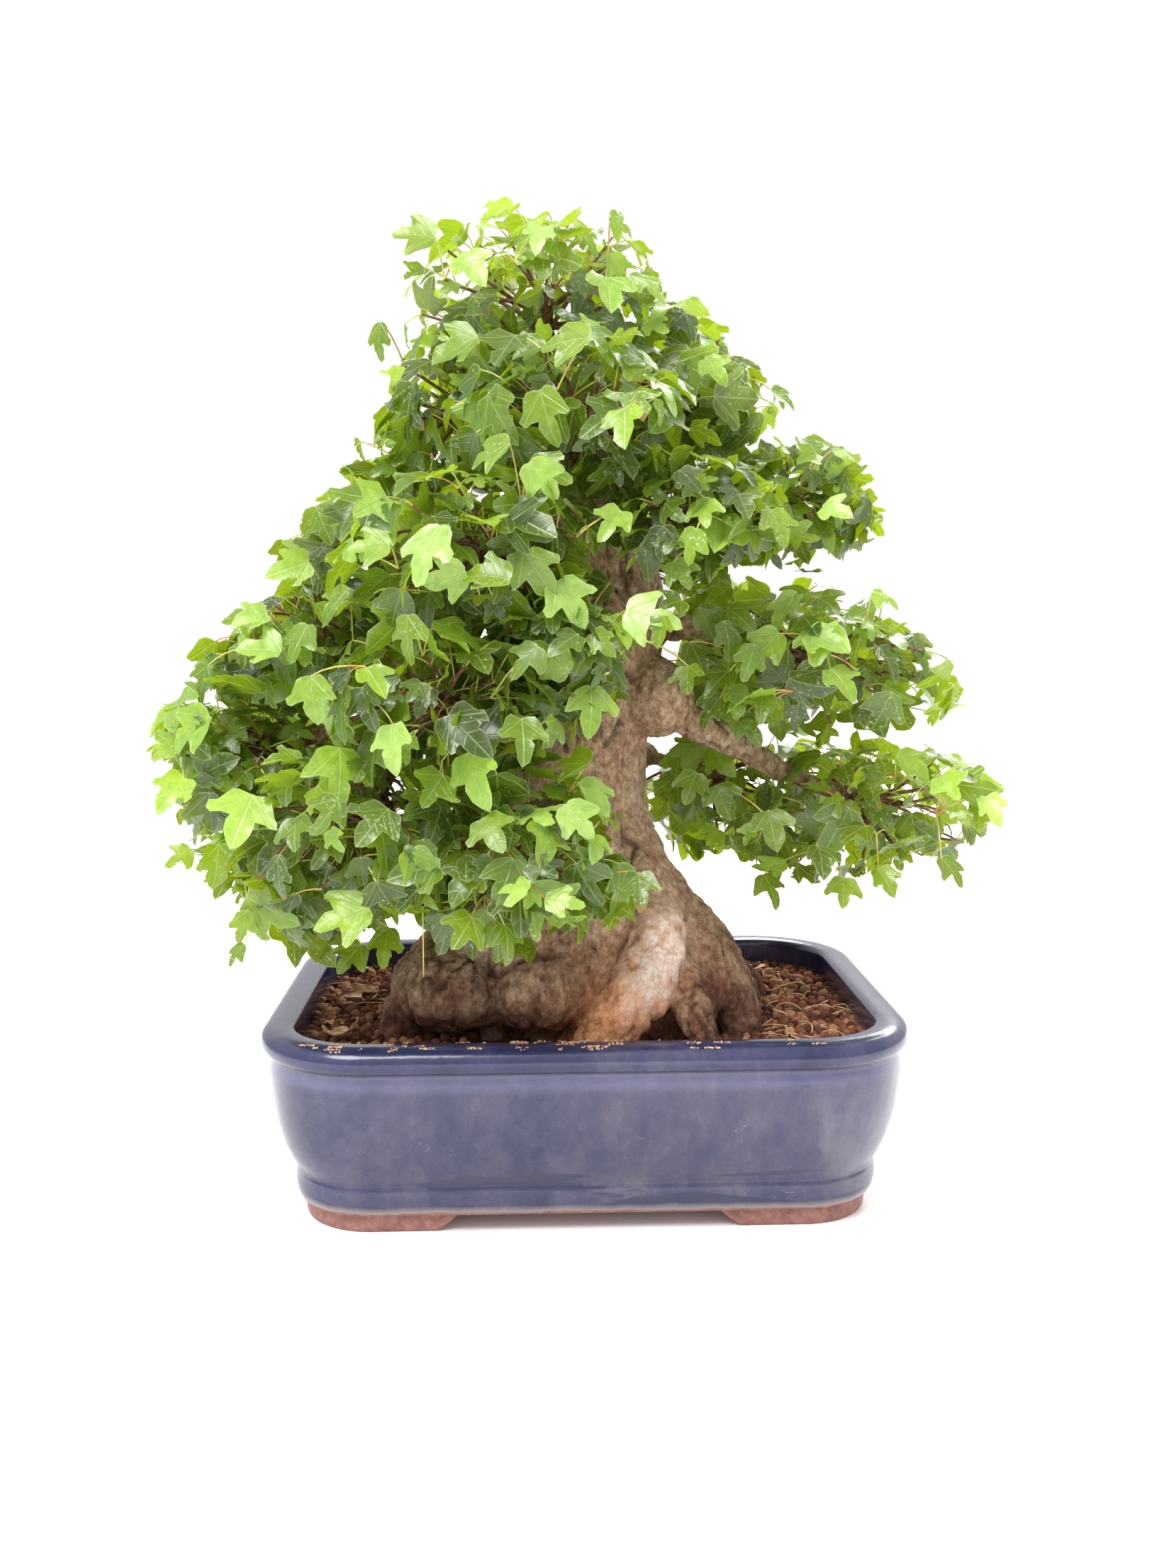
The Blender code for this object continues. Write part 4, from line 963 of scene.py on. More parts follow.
strewing = bpy.data.node_groups.new("granules over the bed", "GeometryNodeTree")
sockets = named_inputs(strewing, {
    "Geometry": "Geometry", "Shapes": "Collection", "Spacing": "Float", "Smallest": "Float",
    "Largest": "Float", "Heave": "Float", "Seed": "Int", "Finish": "Material",
})
given = add_node(strewing, "NodeGroupInput").outputs
spread = add_node(
    strewing, "GeometryNodeDistributePointsOnFaces",
    {"Mesh": given["Geometry"], "Distance Min": given["Spacing"], "Density Max": 1200000.0,
     "Seed": given["Seed"]},
    distribute_method="POISSON",
)
heave = add_node(
    strewing, "FunctionNodeRandomValue", {0: (0, 0, -0.4), 1: (0, 0, 1.0), "Seed": given["Seed"]},
    data_type="FLOAT_VECTOR",
)
heaved = add_node(
    strewing, "ShaderNodeVectorMath", {0: heave.outputs[0], "Scale": given["Heave"]}, operation="SCALE"
)
lifted = add_node(
    strewing, "GeometryNodeSetPosition", {"Geometry": spread.outputs["Points"], "Offset": heaved.outputs[0]}
)
turned = add_node(
    strewing, "FunctionNodeRandomValue", {0: (0, 0, 0), 1: (6.28, 6.28, 6.28), "Seed": 5},
    data_type="FLOAT_VECTOR",
)
rotation = add_node(strewing, "FunctionNodeEulerToRotation", {0: turned.outputs[0]})
sized = add_node(
    strewing, "FunctionNodeRandomValue", {2: given["Smallest"], 3: given["Largest"], "Seed": 8},
    data_type="FLOAT",
)
chosen = add_node(
    strewing, "FunctionNodeRandomValue", {4: 0, 5: GRANULE_SHAPES - 1, "Seed": 3}, data_type="INT"
)
shapes = add_node(
    strewing, "GeometryNodeCollectionInfo",
    {"Collection": given["Shapes"], "Separate Children": True, "Reset Children": True},
)
placed = add_node(
    strewing, "GeometryNodeInstanceOnPoints",
    {"Points": lifted.outputs[0], "Instance": shapes.outputs[0], "Pick Instance": True,
     "Instance Index": chosen.outputs[2], "Rotation": rotation.outputs[0], "Scale": sized.outputs[1]},
)
toned = add_node(strewing, "FunctionNodeRandomValue", {2: 0.0, 3: 1.0, "Seed": 13}, data_type="FLOAT")
tinting = add_node(
    strewing, "GeometryNodeStoreNamedAttribute",
    {"Geometry": placed.outputs[0], "Name": "tint", "Value": toned.outputs[1]},
    data_type="FLOAT", domain="INSTANCE",
)
real = add_node(strewing, "GeometryNodeRealizeInstances", {"Geometry": tinting.outputs[0]})
finished = add_node(
    strewing, "GeometryNodeSetMaterial", {"Geometry": real.outputs[0], "Material": given["Finish"]}
)
add_node(strewing, "NodeGroupOutput", {"Geometry": finished.outputs[0]})


def grown(name, base_mesh, group, inputs):
    """The plain mesh that a geometry tree makes from a base mesh, as a new object at the origin."""
    piece = bpy.data.objects.new(name, base_mesh)
    bpy.context.scene.collection.objects.link(piece)
    growth = piece.modifiers.new("growth", "NODES")
    growth.node_group = group
    for identifier, value in inputs.items():
        growth[identifier] = value
    bake_modifiers(piece)
    return piece


def strewn(name, bed, spacing, sizes, heave, seed, finish):
    """Loose grains over a bed, from the least size to the greatest, some of them heaved up."""
    return grown(name, bed, strewing, {
        sockets["Shapes"]: granule_group, sockets["Spacing"]: spacing, sockets["Smallest"]: sizes[0],
        sockets["Largest"]: sizes[1], sockets["Heave"]: heave, sockets["Seed"]: seed,
        sockets["Finish"]: finish,
    })


granules = strewn(
    "soil_granules", bed_top, GRANULE_SPACING, GRANULE_SIZES, GRANULE_HEAVE, SOIL_SEED, soil_finish
)

# Dried lime and grit: dull, peach coloured and powdery, thickest along the front of the rim
crumb_finish = grained_finish("dried_lime_crumbs", 2.0, 4.0, ((0.35, "B98763"), (0.65, "EBC6A4")), 0.95)
rim_top = np.array(POT_OUTSIDE[18:24]).T
draw = random.Random(CRUMB_SEED)
patch_points, patch_faces = [], []
for start, end, number in CRUMB_RUNS:
    for _ in range(number):
        x = draw.uniform(start, end)
        inset = draw.choice(CRUMB_INSETS)
        y = inset - POT_DEPTH / 2
        half_x, half_y = draw.uniform(0.0008, 0.0050), draw.uniform(0.0005, 0.0020)
        z = np.interp(inset, *rim_top)
        first = len(patch_points)
        for sx, sy in ((-1, -1), (1, -1), (1, 1), (-1, 1)):
            patch_points.append(POT_PLACE + Vector((x + sx * half_x, y + sy * half_y, z)))
        patch_faces.append((first, first + 1, first + 2, first + 3))
patches = bpy.data.meshes.new("crumb_patches")
patches.from_pydata(patch_points, [], patch_faces)
crumbs = strewn("rim_crumbs", patches, CRUMB_SPACING, CRUMB_SIZES, CRUMB_HEAVE, CRUMB_SEED, crumb_finish)
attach(crumbs, "root")
for shape in list(granule_group.objects):
    bpy.data.objects.remove(shape, do_unlink=True)
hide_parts("soil")
for piece in (soil, granules):
    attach(piece, "root")


# Leafy sprays: twigs from the end of each branch, with thin green stalks and a three-lobed blade on
# each. Blades are painted light green on the outside and top of a spray and dark inside it, as painted
# light and shade, and all are thin enough to glow when lit from behind.
LEAF_SEED = 46
LEAF_SHAPES = 12
LEAVES_PER_SPRAY = 150
# Ways that twigs may take from a branch's end, and how many of them do: none goes back along it
TWIG_WAYS = 32
TWIGS = 30
BACKWARD = 0.86
# Chances of each range of blade lengths
LEAF_LENGTHS = ((0.012, 0.019), (0.019, 0.027), (0.026, 0.033))
LENGTH_CHANCES = (38, 44, 18)
LONGEST_MARKED = 0.040
# Least distance between the middles of two blades, how many of the last ones are compared, and the
# tries for each leaf
LEAF_ROOM = 0.0042
ROOM_MEMORY = 900
LEAF_TRIES = 6
# How far out a blade's tip may reach, in half sizes of its spray, and how deep its middle may lie in
# other sprays, whose own middles are at least so far off
SPRAY_MARGIN = 1.02
OTHERS_CORE = 0.45
OTHERS_APART = 0.03
BOX_MARGIN = 0.002
# Radii along a stalk, along the longer stalk of a marked leaf, a twig and the branch inside a spray
STALK_RADII = (0.00060, 0.00050, 0.00045, 0.00040)
LONG_STALK_RADII = (0.0007, 0.00062, 0.00055, 0.0005, 0.00045)
TWIG_RADII = (0.0017, 0.0015, 0.0013, 0.0011, 0.0009, 0.0007)
BRANCH_RADII = (BRANCH_TIP_RADIUS, 0.0036, 0.0024)
# Kinds of line or point in a skeleton
TWIG, STALK, BLADE = 0, 1, 2
# The foliage's left and right edges in the camera's picture, by height in it
PICTURE_EDGES = [
    (290, 690, 800), (311, 650, 880), (341, 625, 890), (371, 590, 935), (401, 566, 950), (432, 560, 966),
    (462, 555, 1010), (492, 556, 1032), (522, 556, 1049), (552, 552, 1101), (583, 530, 1118),
    (613, 515, 1050), (632, 505, 1150), (660, 500, 1192), (704, 488, 1218), (734, 432, 1246),
    (764, 422, 1230), (794, 392, 1222), (825, 405, 1246), (855, 385, 1272), (885, 340, 1262),
    (915, 318, 1308), (946, 255, 1318), (976, 240, 1334), (1006, 216, 1362), (1036, 213, 1300),
    (1067, 213, 1330), (1097, 240, 1398), (1127, 244, 1416), (1157, 250, 1424), (1188, 276, 1384),
    (1218, 286, 1340), (1248, 300, 1356), (1290, 330, 1200), (1320, 380, 1100), (1360, 440, 960),
]
# How many pixels a blade may reach past those edges
EDGE_SLACK = 4
# The foliage's lower edge in that picture, by place across it
PICTURE_FLOOR = [
    (200, 1130), (260, 1210), (330, 1265), (420, 1330), (470, 1385), (540, 1385), (575, 1300),
    (640, 1365), (700, 1392), (770, 1330), (840, 1330), (900, 1310), (930, 1225), (1000, 1235),
    (1100, 1250), (1140, 1262), (1240, 1240), (1330, 1215), (1420, 1170),
]
# Places in the picture that the foliage leaves open: middle across, middle down, half width, half height
OPENINGS = [
    (860, 1060, 36, 56), (892, 962, 30, 44), (848, 818, 40, 30),
    (645, 1000, 60, 20), (712, 955, 13, 9), (600, 962, 15, 9), (640, 1152, 14, 34),
    (905, 1030, 42, 105), (875, 835, 58, 40), (935, 905, 40, 70), (900, 1200, 30, 34),
    (1062, 815, 44, 13), (968, 1040, 22, 10), (1095, 1048, 40, 14), (1185, 800, 40, 12),
]
OPEN_CHANCE = 0.9
# Sprays whose leaves reach further than the solid's: middle and half sizes of the leaves
FULLER = {
    "spray_apex": ((-0.026, 0.000, 0.538), (0.090, 0.074, 0.056)),
    "spray_mid_right": ((0.150, -0.020, 0.318), (0.098, 0.068, 0.048)),
    "spray_mid_right_back": ((0.112, 0.086, 0.322), (0.094, 0.062, 0.050)),
    "spray_low_right": ((0.180, -0.006, 0.220), (0.100, 0.070, 0.052)),
    "spray_low_right_back": ((0.106, 0.088, 0.232), (0.098, 0.070, 0.058)),
    "spray_low_left_hang": ((-0.176, -0.074, 0.190), (0.066, 0.056, 0.044)),
    "spray_low_front": ((-0.040, -0.128, 0.214), (0.072, 0.052, 0.054)),
    "spray_mid_near": ((-0.006, -0.116, 0.330), (0.058, 0.046, 0.040)),
}
# Single leaves that stand out: middle across and down in the picture, width there, the way the tip
# points in degrees down from the right, and how light the green is, with its light and shade painted in
MARKED_LEAVES = [
    (599, 769, 93, 100, 0.90), (685, 808, 71, 200, 0.50), (917, 865, 78, 20, 0.88),
    (806, 847, 75, 60, 0.86), (835, 997, 71, 95, 0.62), (667, 1100, 86, 65, 0.84),
    (692, 1172, 64, 60, 0.52), (817, 1158, 60, 50, 0.95), (863, 736, 60, 120, 0.86),
    (767, 676, 62, 50, 0.80), (806, 1076, 60, 205, 0.40), (739, 1040, 72, 95, 0.46),
    (796, 904, 56, 130, 0.26), (589, 1226, 70, 160, 0.62), (792, 1269, 54, 15, 0.95),
    (721, 1251, 52, 210, 0.85), (903, 1254, 58, 90, 0.34), (282, 964, 58, 120, 0.50),
    (264, 1032, 80, 150, 0.66), (439, 986, 66, 85, 0.72), (482, 1093, 92, 100, 0.60),
    (550, 1054, 72, 80, 0.84), (464, 1150, 60, 130, 0.32), (343, 1150, 86, 110, 0.90),
    (611, 1114, 66, 125, 0.55), (482, 1293, 80, 150, 0.82), (593, 1229, 66, 60, 0.60),
    (543, 1330, 56, 95, 0.55), (493, 1350, 52, 120, 0.50), (654, 1314, 60, 125, 0.56),
    (718, 1329, 54, 90, 0.40), (243, 1114, 62, 120, 0.95), (307, 1221, 60, 95, 0.60),
    (364, 914, 66, 190, 0.90), (584, 330, 62, 185, 0.52), (531, 478, 50, 100, 0.36),
    (881, 317, 48, 10, 0.60), (1106, 562, 44, 25, 0.60), (1250, 841, 40, 40, 0.80),
    (1191, 638, 34, 10, 0.66), (354, 868, 50, 150, 0.86), (668, 378, 60, 60, 0.84),
    (760, 330, 50, 100, 0.80), (860, 410, 70, 95, 0.90), (640, 490, 74, 160, 0.72),
    (795, 480, 74, 190, 0.50), (880, 600, 66, 80, 0.84), (770, 660, 66, 30, 0.86),
    (690, 640, 66, 170, 0.62), (1010, 520, 50, 60, 0.92), (1165, 900, 64, 40, 0.86),
    (1190, 960, 60, 70, 0.88), (1090, 1170, 60, 80, 0.60), (1290, 1080, 56, 40, 0.94),
    (1340, 1110, 52, 60, 0.96), (1400, 1140, 46, 70, 0.98), (1060, 930, 52, 110, 0.42),
    (1000, 880, 56, 60, 0.36), (1100, 740, 60, 80, 0.70), (1180, 720, 50, 40, 0.86),
    (930, 890, 46, 100, 0.30), (948, 850, 44, 140, 0.36), (962, 810, 46, 60, 0.42),
    (975, 770, 50, 110, 0.55), (985, 925, 50, 70, 0.30), (1012, 960, 54, 120, 0.34),
    (1040, 985, 50, 95, 0.44), (968, 955, 46, 80, 0.26), (1000, 1003, 50, 130, 0.36),
    (1058, 1026, 50, 60, 0.34), (1075, 995, 50, 100, 0.52), (1030, 900, 54, 80, 0.40),
    (975, 1110, 50, 110, 0.34), (1020, 1130, 54, 70, 0.40), (1010, 840, 50, 150, 0.44),
    (1045, 870, 54, 50, 0.52), (410, 800, 60, 160, 0.84), (470, 850, 64, 120, 0.72),
    (520, 770, 58, 170, 0.80), (570, 900, 66, 95, 0.50), (420, 905, 60, 100, 0.78),
    (530, 960, 56, 70, 0.62), (740, 930, 56, 130, 0.40), (1345, 1228, 50, 75, 0.30),
    (1190, 1258, 46, 95, 0.34), (1090, 1252, 50, 80, 0.36), (344, 1306, 44, 105, 0.30),
    (332, 1346, 36, 112, 0.30), (252, 1208, 40, 140, 0.44), (1250, 1240, 44, 70, 0.44),
    (1160, 1215, 52, 100, 0.30),
]
# How far outside a spray a single leaf may lie to belong to it, in half sizes of the spray
STRAY = 1.10
# Single leaves hang at least this far to the front, clear of the trunk and the right bough
MARKED_FRONT = -0.036
# A stalk that has lost its blade and hangs from the low front spray
BARE_STALK = (Vector((-0.0914, -0.1275, 0.190)), Vector((-0.0914, -0.1275, 0.151)))
BARE_STALK_RADII = (0.0006, 0.0006, 0.0004)

# Maple leaf: thin and waxy, so that it shines where it faces the light and glows where it is lit from
# behind
leaf_finish, tree, shader, place = new_finish("thin_waxy_maple_leaf")
flat = add_node(tree, "ShaderNodeUVMap", uv_map="blade")
leaf_axes = add_node(tree, "ShaderNodeSeparateXYZ", {0: flat.outputs[0]})
tint = add_node(tree, "ShaderNodeAttribute", attribute_name="tint")
# Dark to pale green: the dark end is painted shade inside the sprays, the pale end painted sheen on lit
# blades
base_colour = add_node(
    tree, "ShaderNodeValToRGB", {0: tint.outputs["Fac"]},
    stops=((0.0, "384818"), (1.0, "C6E482"), (0.26, "557019"), (0.50, "86A41F"), (0.76, "A8CC4C")),
)
blotch_noise = add_node(tree, "ShaderNodeTexNoise", {"Vector": place, "Scale": spaced(4.76), "Detail": 3.0})
blotch = add_node(
    tree, "ShaderNodeValToRGB", {0: blotch_noise.outputs["Fac"]}, stops=((0.30, "B2C8A4"), (0.70, "FFFFFF"))
)
blotched = add_node(
    tree, "ShaderNodeMix", {0: 0.7, 6: base_colour.outputs[0], 7: blotch.outputs[0]},
    data_type="RGBA", blend_type="MULTIPLY",
)
# Veins: the midrib, one rib to each side lobe, and finer ones that leave the midrib forwards
aside = add_node(tree, "ShaderNodeMath", {0: leaf_axes.outputs["X"]}, operation="ABSOLUTE")
rib_line = add_node(
    tree, "ShaderNodeMath", {0: leaf_axes.outputs["Y"], 1: 0.92, 2: -0.02}, operation="MULTIPLY_ADD"
)
rib_off = add_node(
    tree, "ShaderNodeMath", {0: aside.outputs[0], 1: rib_line.outputs[0]}, operation="SUBTRACT"
)
rib_far = add_node(tree, "ShaderNodeMath", {0: rib_off.outputs[0]}, operation="ABSOLUTE")
nearest = add_node(
    tree, "ShaderNodeMath", {0: aside.outputs[0], 1: rib_far.outputs[0]}, operation="MINIMUM"
)
main_vein = add_node(
    tree, "ShaderNodeMapRange", {0: nearest.outputs[0], 1: 0.006, 2: 0.024, 3: 0.34, 4: 0.0}
)
fine_line = add_node(
    tree, "ShaderNodeMath", {0: aside.outputs[0], 1: -0.85, 2: leaf_axes.outputs["Y"]},
    operation="MULTIPLY_ADD",
)
fine_wave = add_node(tree, "ShaderNodeMath", {0: fine_line.outputs[0], 1: 0.115}, operation="PINGPONG")
fine_vein = add_node(
    tree, "ShaderNodeMapRange", {0: fine_wave.outputs[0], 1: 0.003, 2: 0.020, 3: 0.13, 4: 0.0}
)
vein_share = add_node(
    tree, "ShaderNodeMath", {0: main_vein.outputs[0], 1: fine_vein.outputs[0]}, operation="MAXIMUM"
)
# Painted highlight: the cut edge is coloured paler, as where it catches the light
rim = add_node(tree, "ShaderNodeAttribute", attribute_name="rim")
edge_highlight_share = add_node(tree, "ShaderNodeMapRange", {0: rim.outputs["Fac"], 1: 0.90, 2: 1.0, 3: 0.0, 4: 0.42})
# Chalky spots where drops of water have dried
spots = add_node(
    tree, "ShaderNodeTexNoise", {"Vector": place, "Scale": spaced(2.083), "Detail": 5.0, "Roughness": 0.65}
)
wet_place = add_node(tree, "ShaderNodeTexNoise", {"Vector": place, "Scale": spaced(33.3), "Detail": 1.0})
spot_level = add_node(
    tree, "ShaderNodeMath", {0: wet_place.outputs["Fac"], 1: 0.30, 2: spots.outputs["Fac"]},
    operation="MULTIPLY_ADD",
)
spot_share = add_node(
    tree, "ShaderNodeMapRange", {0: spot_level.outputs[0], 1: 0.77, 2: 0.84, 3: 0.0, 4: 0.66}
)
# A few tips have dried brown
tip_level = add_node(
    tree, "ShaderNodeMath", {0: leaf_axes.outputs["Y"], 1: wet_place.outputs["Fac"]}, operation="MULTIPLY"
)
tip_share = add_node(
    tree, "ShaderNodeMapRange", {0: tip_level.outputs[0], 1: 0.62, 2: 0.66, 3: 0.0, 4: 1.0}
)
colour = blotched.outputs[2]
for share, coat in (
    (vein_share, "C4DC96"), (edge_highlight_share, "CFE2AC"), (spot_share, "D5E2D2"), (tip_share, "8B5A3A"),
):
    coated = add_node(
        tree, "ShaderNodeMix", {0: share.outputs[0], 6: colour, 7: hex_colour(coat)}, data_type="RGBA"
    )
    colour = coated.outputs[2]
tree.links.new(colour, shader.inputs["Base Color"])
shader.inputs["Roughness"].default_value = 0.30
shader.inputs["Specular IOR Level"].default_value = 0.90
vein_relief = add_node(
    tree, "ShaderNodeBump", {"Strength": 0.8, "Distance": 0.0008, "Height": vein_share.outputs[0]},
    invert=True,
)
tree.links.new(vein_relief.outputs[0], shader.inputs["Normal"])
glow_colour = add_node(
    tree, "ShaderNodeMix", {0: 0.72, 6: colour, 7: hex_colour("BEDA10")}, data_type="RGBA"
)
glow = add_node(tree, "ShaderNodeBsdfTranslucent", {"Color": glow_colour.outputs[2]})
blended = add_node(tree, "ShaderNodeMixShader", {0: 0.40, 1: shader.outputs[0], 2: glow.outputs[0]})
tree.links.new(blended.outputs[0], tree.nodes["Material Output"].inputs["Surface"])

# Green stalk: smooth and yellow-green, reddish in places
stalk_finish = grained_finish(
    "green_leaf_stalk", 16.7, 2.0, ((0.32, "C48E50"), (0.70, "D6DC80"), (0.50, "CBC468")), 0.5
)

# Young twig: thin red-brown bark with a fine dull grain
twig_finish = grained_finish(
    "young_maple_twig_bark", 3.85, 4.0, ((0.30, "54362A"), (0.74, "A8836C"), (0.52, "7E5846")), 0.8,
    relief=(0.6, 0.0005),
)


def leaf_blade(name, draw):
    """One three-lobed blade of length 1 from its stalk to its tip, its face up and its lobes forward."""
    reach = draw.uniform(0.43, 0.58)
    rise = draw.uniform(0.46, 0.62)
    neck = draw.uniform(0.15, 0.25)
    full = draw.uniform(0.0, 1.0)
    half = [
        (0.07 + 0.05 * full, 0.01 - 0.04 * full), (0.17 + 0.07 * full, 0.04 - 0.05 * full),
        (0.29 + 0.07 * full, 0.12 - 0.05 * full), (reach - 0.06, rise - 0.20), (reach + 0.02, rise - 0.08),
        (reach + 0.01, rise + 0.03), (reach - 0.08, rise + 0.06), ((reach + neck) / 2, rise + 0.01),
        (neck, rise), (neck + 0.03, rise + 0.14), (neck, 0.80), (0.12, 0.94),
    ]
    sides = []
    for _ in range(2):
        sides.append([(x * draw.uniform(0.92, 1.08), y + draw.uniform(-0.02, 0.02)) for x, y in half])
    tip = (draw.uniform(-0.04, 0.04), 1.03)
    ribs = [(0.0, 0.18), (0.0, rise - 0.08), (0.0, 0.76)]
    side_rib = (reach * 0.56, rise * 0.62)
    fold, droop, curl = draw.uniform(0.02, 0.50), draw.uniform(0.05, 0.60), draw.uniform(0.05, 0.65)
    outline = [(0.0, 0.0)] + sides[0] + [tip] + [(-x, y) for x, y in sides[1][::-1]]
    spots = outline + ribs + [side_rib, (-side_rib[0], side_rib[1])]
    last = len(outline)
    # Faces fan out from a rib of each side lobe and of the middle lobe, which part at the notch
    right = list(range(0, len(half) + 2))
    left = [0] + list(range(len(outline) - 1, len(half), -1))
    notch = 9
    faces = []
    for chain, rib, order in ((right, last + 3, 1), (left, last + 4, -1)):
        lobe = chain[: notch + 1] + [last + 1, last]
        for i in range(len(lobe)):
            faces.append((lobe[i], lobe[(i + 1) % len(lobe)], rib)[::order])
        middle_lobe = [last + 1] + chain[notch:]
        for i in range(len(middle_lobe) - 1):
            faces.append((middle_lobe[i], middle_lobe[i + 1], last + 2)[::order])
    lifts = []
    for x, y in spots:
        wave = 0.040 * math.sin(11 * y + 7 * abs(x) + 6 * full)
        lifts.append(fold * abs(x) - droop * y * y * 0.8 - curl * x * x + wave * (abs(x) > 0.01))
    mesh = bpy.data.meshes.new(name)
    mesh.from_pydata([(x, y, z) for (x, y), z in zip(spots, lifts)], [], faces)
    flat_map = mesh.uv_layers.new(name="blade")
    for loop in mesh.loops:
        flat_map.data[loop.index].uv = spots[loop.vertex_index]
    edge_mark = mesh.attributes.new("rim", "FLOAT", "POINT")
    edge_mark.data.foreach_set("value", [1.0] * last + [0.0] * (len(spots) - last))
    mesh.shade_smooth()
    return bpy.data.objects.new(name, mesh)


blade_group = bpy.data.collections.new("blades")
draw = random.Random(LEAF_SEED)
for k in range(LEAF_SHAPES):
    blade_group.objects.link(leaf_blade("blade_%d" % k, draw))

foliage = bpy.data.node_groups.new("twigs, stalks and blades", "GeometryNodeTree")
leafy = named_inputs(foliage, {
    "Geometry": "Geometry", "Blades": "Collection", "Stalk sides": "Int", "Twig sides": "Int",
    "Blade finish": "Material", "Stalk finish": "Material", "Twig finish": "Material",
})
given = add_node(foliage, "NodeGroupInput").outputs
kind_mark = add_node(foliage, "GeometryNodeInputNamedAttribute", {"Name": "kind"}, data_type="FLOAT")
is_blade = add_node(
    foliage, "FunctionNodeCompare", {0: kind_mark.outputs[0], 1: (STALK + BLADE) / 2},
    data_type="FLOAT", operation="GREATER_THAN",
)
is_stalk = add_node(
    foliage, "FunctionNodeCompare", {0: kind_mark.outputs[0], 1: (TWIG + STALK) / 2},
    data_type="FLOAT", operation="GREATER_THAN",
)
parted = add_node(
    foliage, "GeometryNodeSeparateGeometry",
    {"Geometry": given["Geometry"], "Selection": is_blade.outputs[0]}, domain="POINT",
)
lines = add_node(
    foliage, "GeometryNodeSeparateGeometry",
    {"Geometry": parted.outputs[1], "Selection": is_stalk.outputs[0]}, domain="POINT",
)
spots = add_node(foliage, "GeometryNodeMeshToPoints", {"Mesh": parted.outputs[0]})
shapes = add_node(
    foliage, "GeometryNodeCollectionInfo",
    {"Collection": given["Blades"], "Separate Children": True, "Reset Children": True},
)
shape_mark = add_node(foliage, "GeometryNodeInputNamedAttribute", {"Name": "shape"}, data_type="INT")
turn_mark = add_node(foliage, "GeometryNodeInputNamedAttribute", {"Name": "turn"}, data_type="FLOAT_VECTOR")
size_mark = add_node(foliage, "GeometryNodeInputNamedAttribute", {"Name": "size"}, data_type="FLOAT")
rotation = add_node(foliage, "FunctionNodeEulerToRotation", {0: turn_mark.outputs[0]})
blades = add_node(
    foliage, "GeometryNodeInstanceOnPoints",
    {"Points": spots.outputs[0], "Instance": shapes.outputs[0], "Pick Instance": True,
     "Instance Index": shape_mark.outputs[0], "Rotation": rotation.outputs[0], "Scale": size_mark.outputs[0]},
)
real = add_node(foliage, "GeometryNodeRealizeInstances", {"Geometry": blades.outputs[0]})
parts = [
    add_node(
        foliage, "GeometryNodeSetMaterial",
        {"Geometry": real.outputs[0], "Material": given["Blade finish"]},
    )
]
thick_mark = add_node(foliage, "GeometryNodeInputNamedAttribute", {"Name": "thick"}, data_type="FLOAT")
for line, sides, finish in ((0, "Stalk sides", "Stalk finish"), (1, "Twig sides", "Twig finish")):
    curve = add_node(foliage, "GeometryNodeMeshToCurve", {"Mesh": lines.outputs[line]})
    ring = add_node(
        foliage, "GeometryNodeCurvePrimitiveCircle", {"Resolution": given[sides], "Radius": 1.0}
    )
    solid = add_node(
        foliage, "GeometryNodeCurveToMesh",
        {"Curve": curve.outputs[0], "Profile Curve": ring.outputs[0], "Scale": thick_mark.outputs[0],
         "Fill Caps": True},
    )
    parts.append(
        add_node(
            foliage, "GeometryNodeSetMaterial",
            {"Geometry": solid.outputs[0], "Material": given[finish]},
        )
    )
whole = add_node(foliage, "GeometryNodeJoinGeometry")
for part in parts[::-1]:
    foliage.links.new(part.outputs[0], whole.inputs[0])
add_node(foliage, "NodeGroupOutput", {"Geometry": whole.outputs[0]})


class Skeleton:
    """Lines and points that the geometry tree turns into twigs, stalks and blades."""

    def __init__(self):
        self.points, self.edges = [], []
        self.marks = {"kind": [], "thick": [], "size": [], "tint": [], "shape": [], "turn": []}

    def point(self, place, kind, thick=0.0, size=1.0, tint=0.5, shape=0, turn=(0.0, 0.0, 0.0)):
        """One point with its marks, its place measured from the pot's middle."""
        self.points.append(place + POT_PLACE)
        for name, value in zip(self.marks, (kind, thick, size, tint, shape, turn)):
            self.marks[name].append(value)

    def line(self, route, radii, kind):
        """A twig or a stalk through the points of a route."""
        first = len(self.points)
        for place, thick in zip(route, radii):
            self.point(place, kind, thick)
        self.edges += [(i, i + 1) for i in range(first, len(self.points) - 1)]

    def mesh(self, name):
        """The skeleton as a mesh of loose points and edges with its marks."""
        made = bpy.data.meshes.new(name)
        made.from_pydata(self.points, self.edges, [])
        for mark, values in self.marks.items():
            kind = {"shape": "INT", "turn": "FLOAT_VECTOR"}.get(mark, "FLOAT")
            layer = made.attributes.new(mark, kind, "POINT")
            if kind == "FLOAT_VECTOR":
                layer.data.foreach_set("vector", np.array(values, dtype=float).ravel())
            else:
                layer.data.foreach_set("value", values)
        return made


def leafy_piece(name, lines, stalk_sides, blade_look, stalk_look, twig_look):
    """The blades, stalks and twigs of a skeleton's mesh, each with its finish, without its marks."""
    piece = grown(name, lines, foliage, {
        leafy["Blades"]: blade_group, leafy["Stalk sides"]: stalk_sides, leafy["Twig sides"]: 5,
        leafy["Blade finish"]: blade_look, leafy["Stalk finish"]: stalk_look,
        leafy["Twig finish"]: twig_look,
    })
    for mark in ("kind", "thick", "size", "shape", "turn"):
        layer = piece.data.attributes.get(mark)
        if layer:
            piece.data.attributes.remove(layer)
    return piece


def scattered(spread, draw):
    """A small random step, up to spread along each axis."""
    return Vector([draw.uniform(-spread, spread) for _ in range(3)])


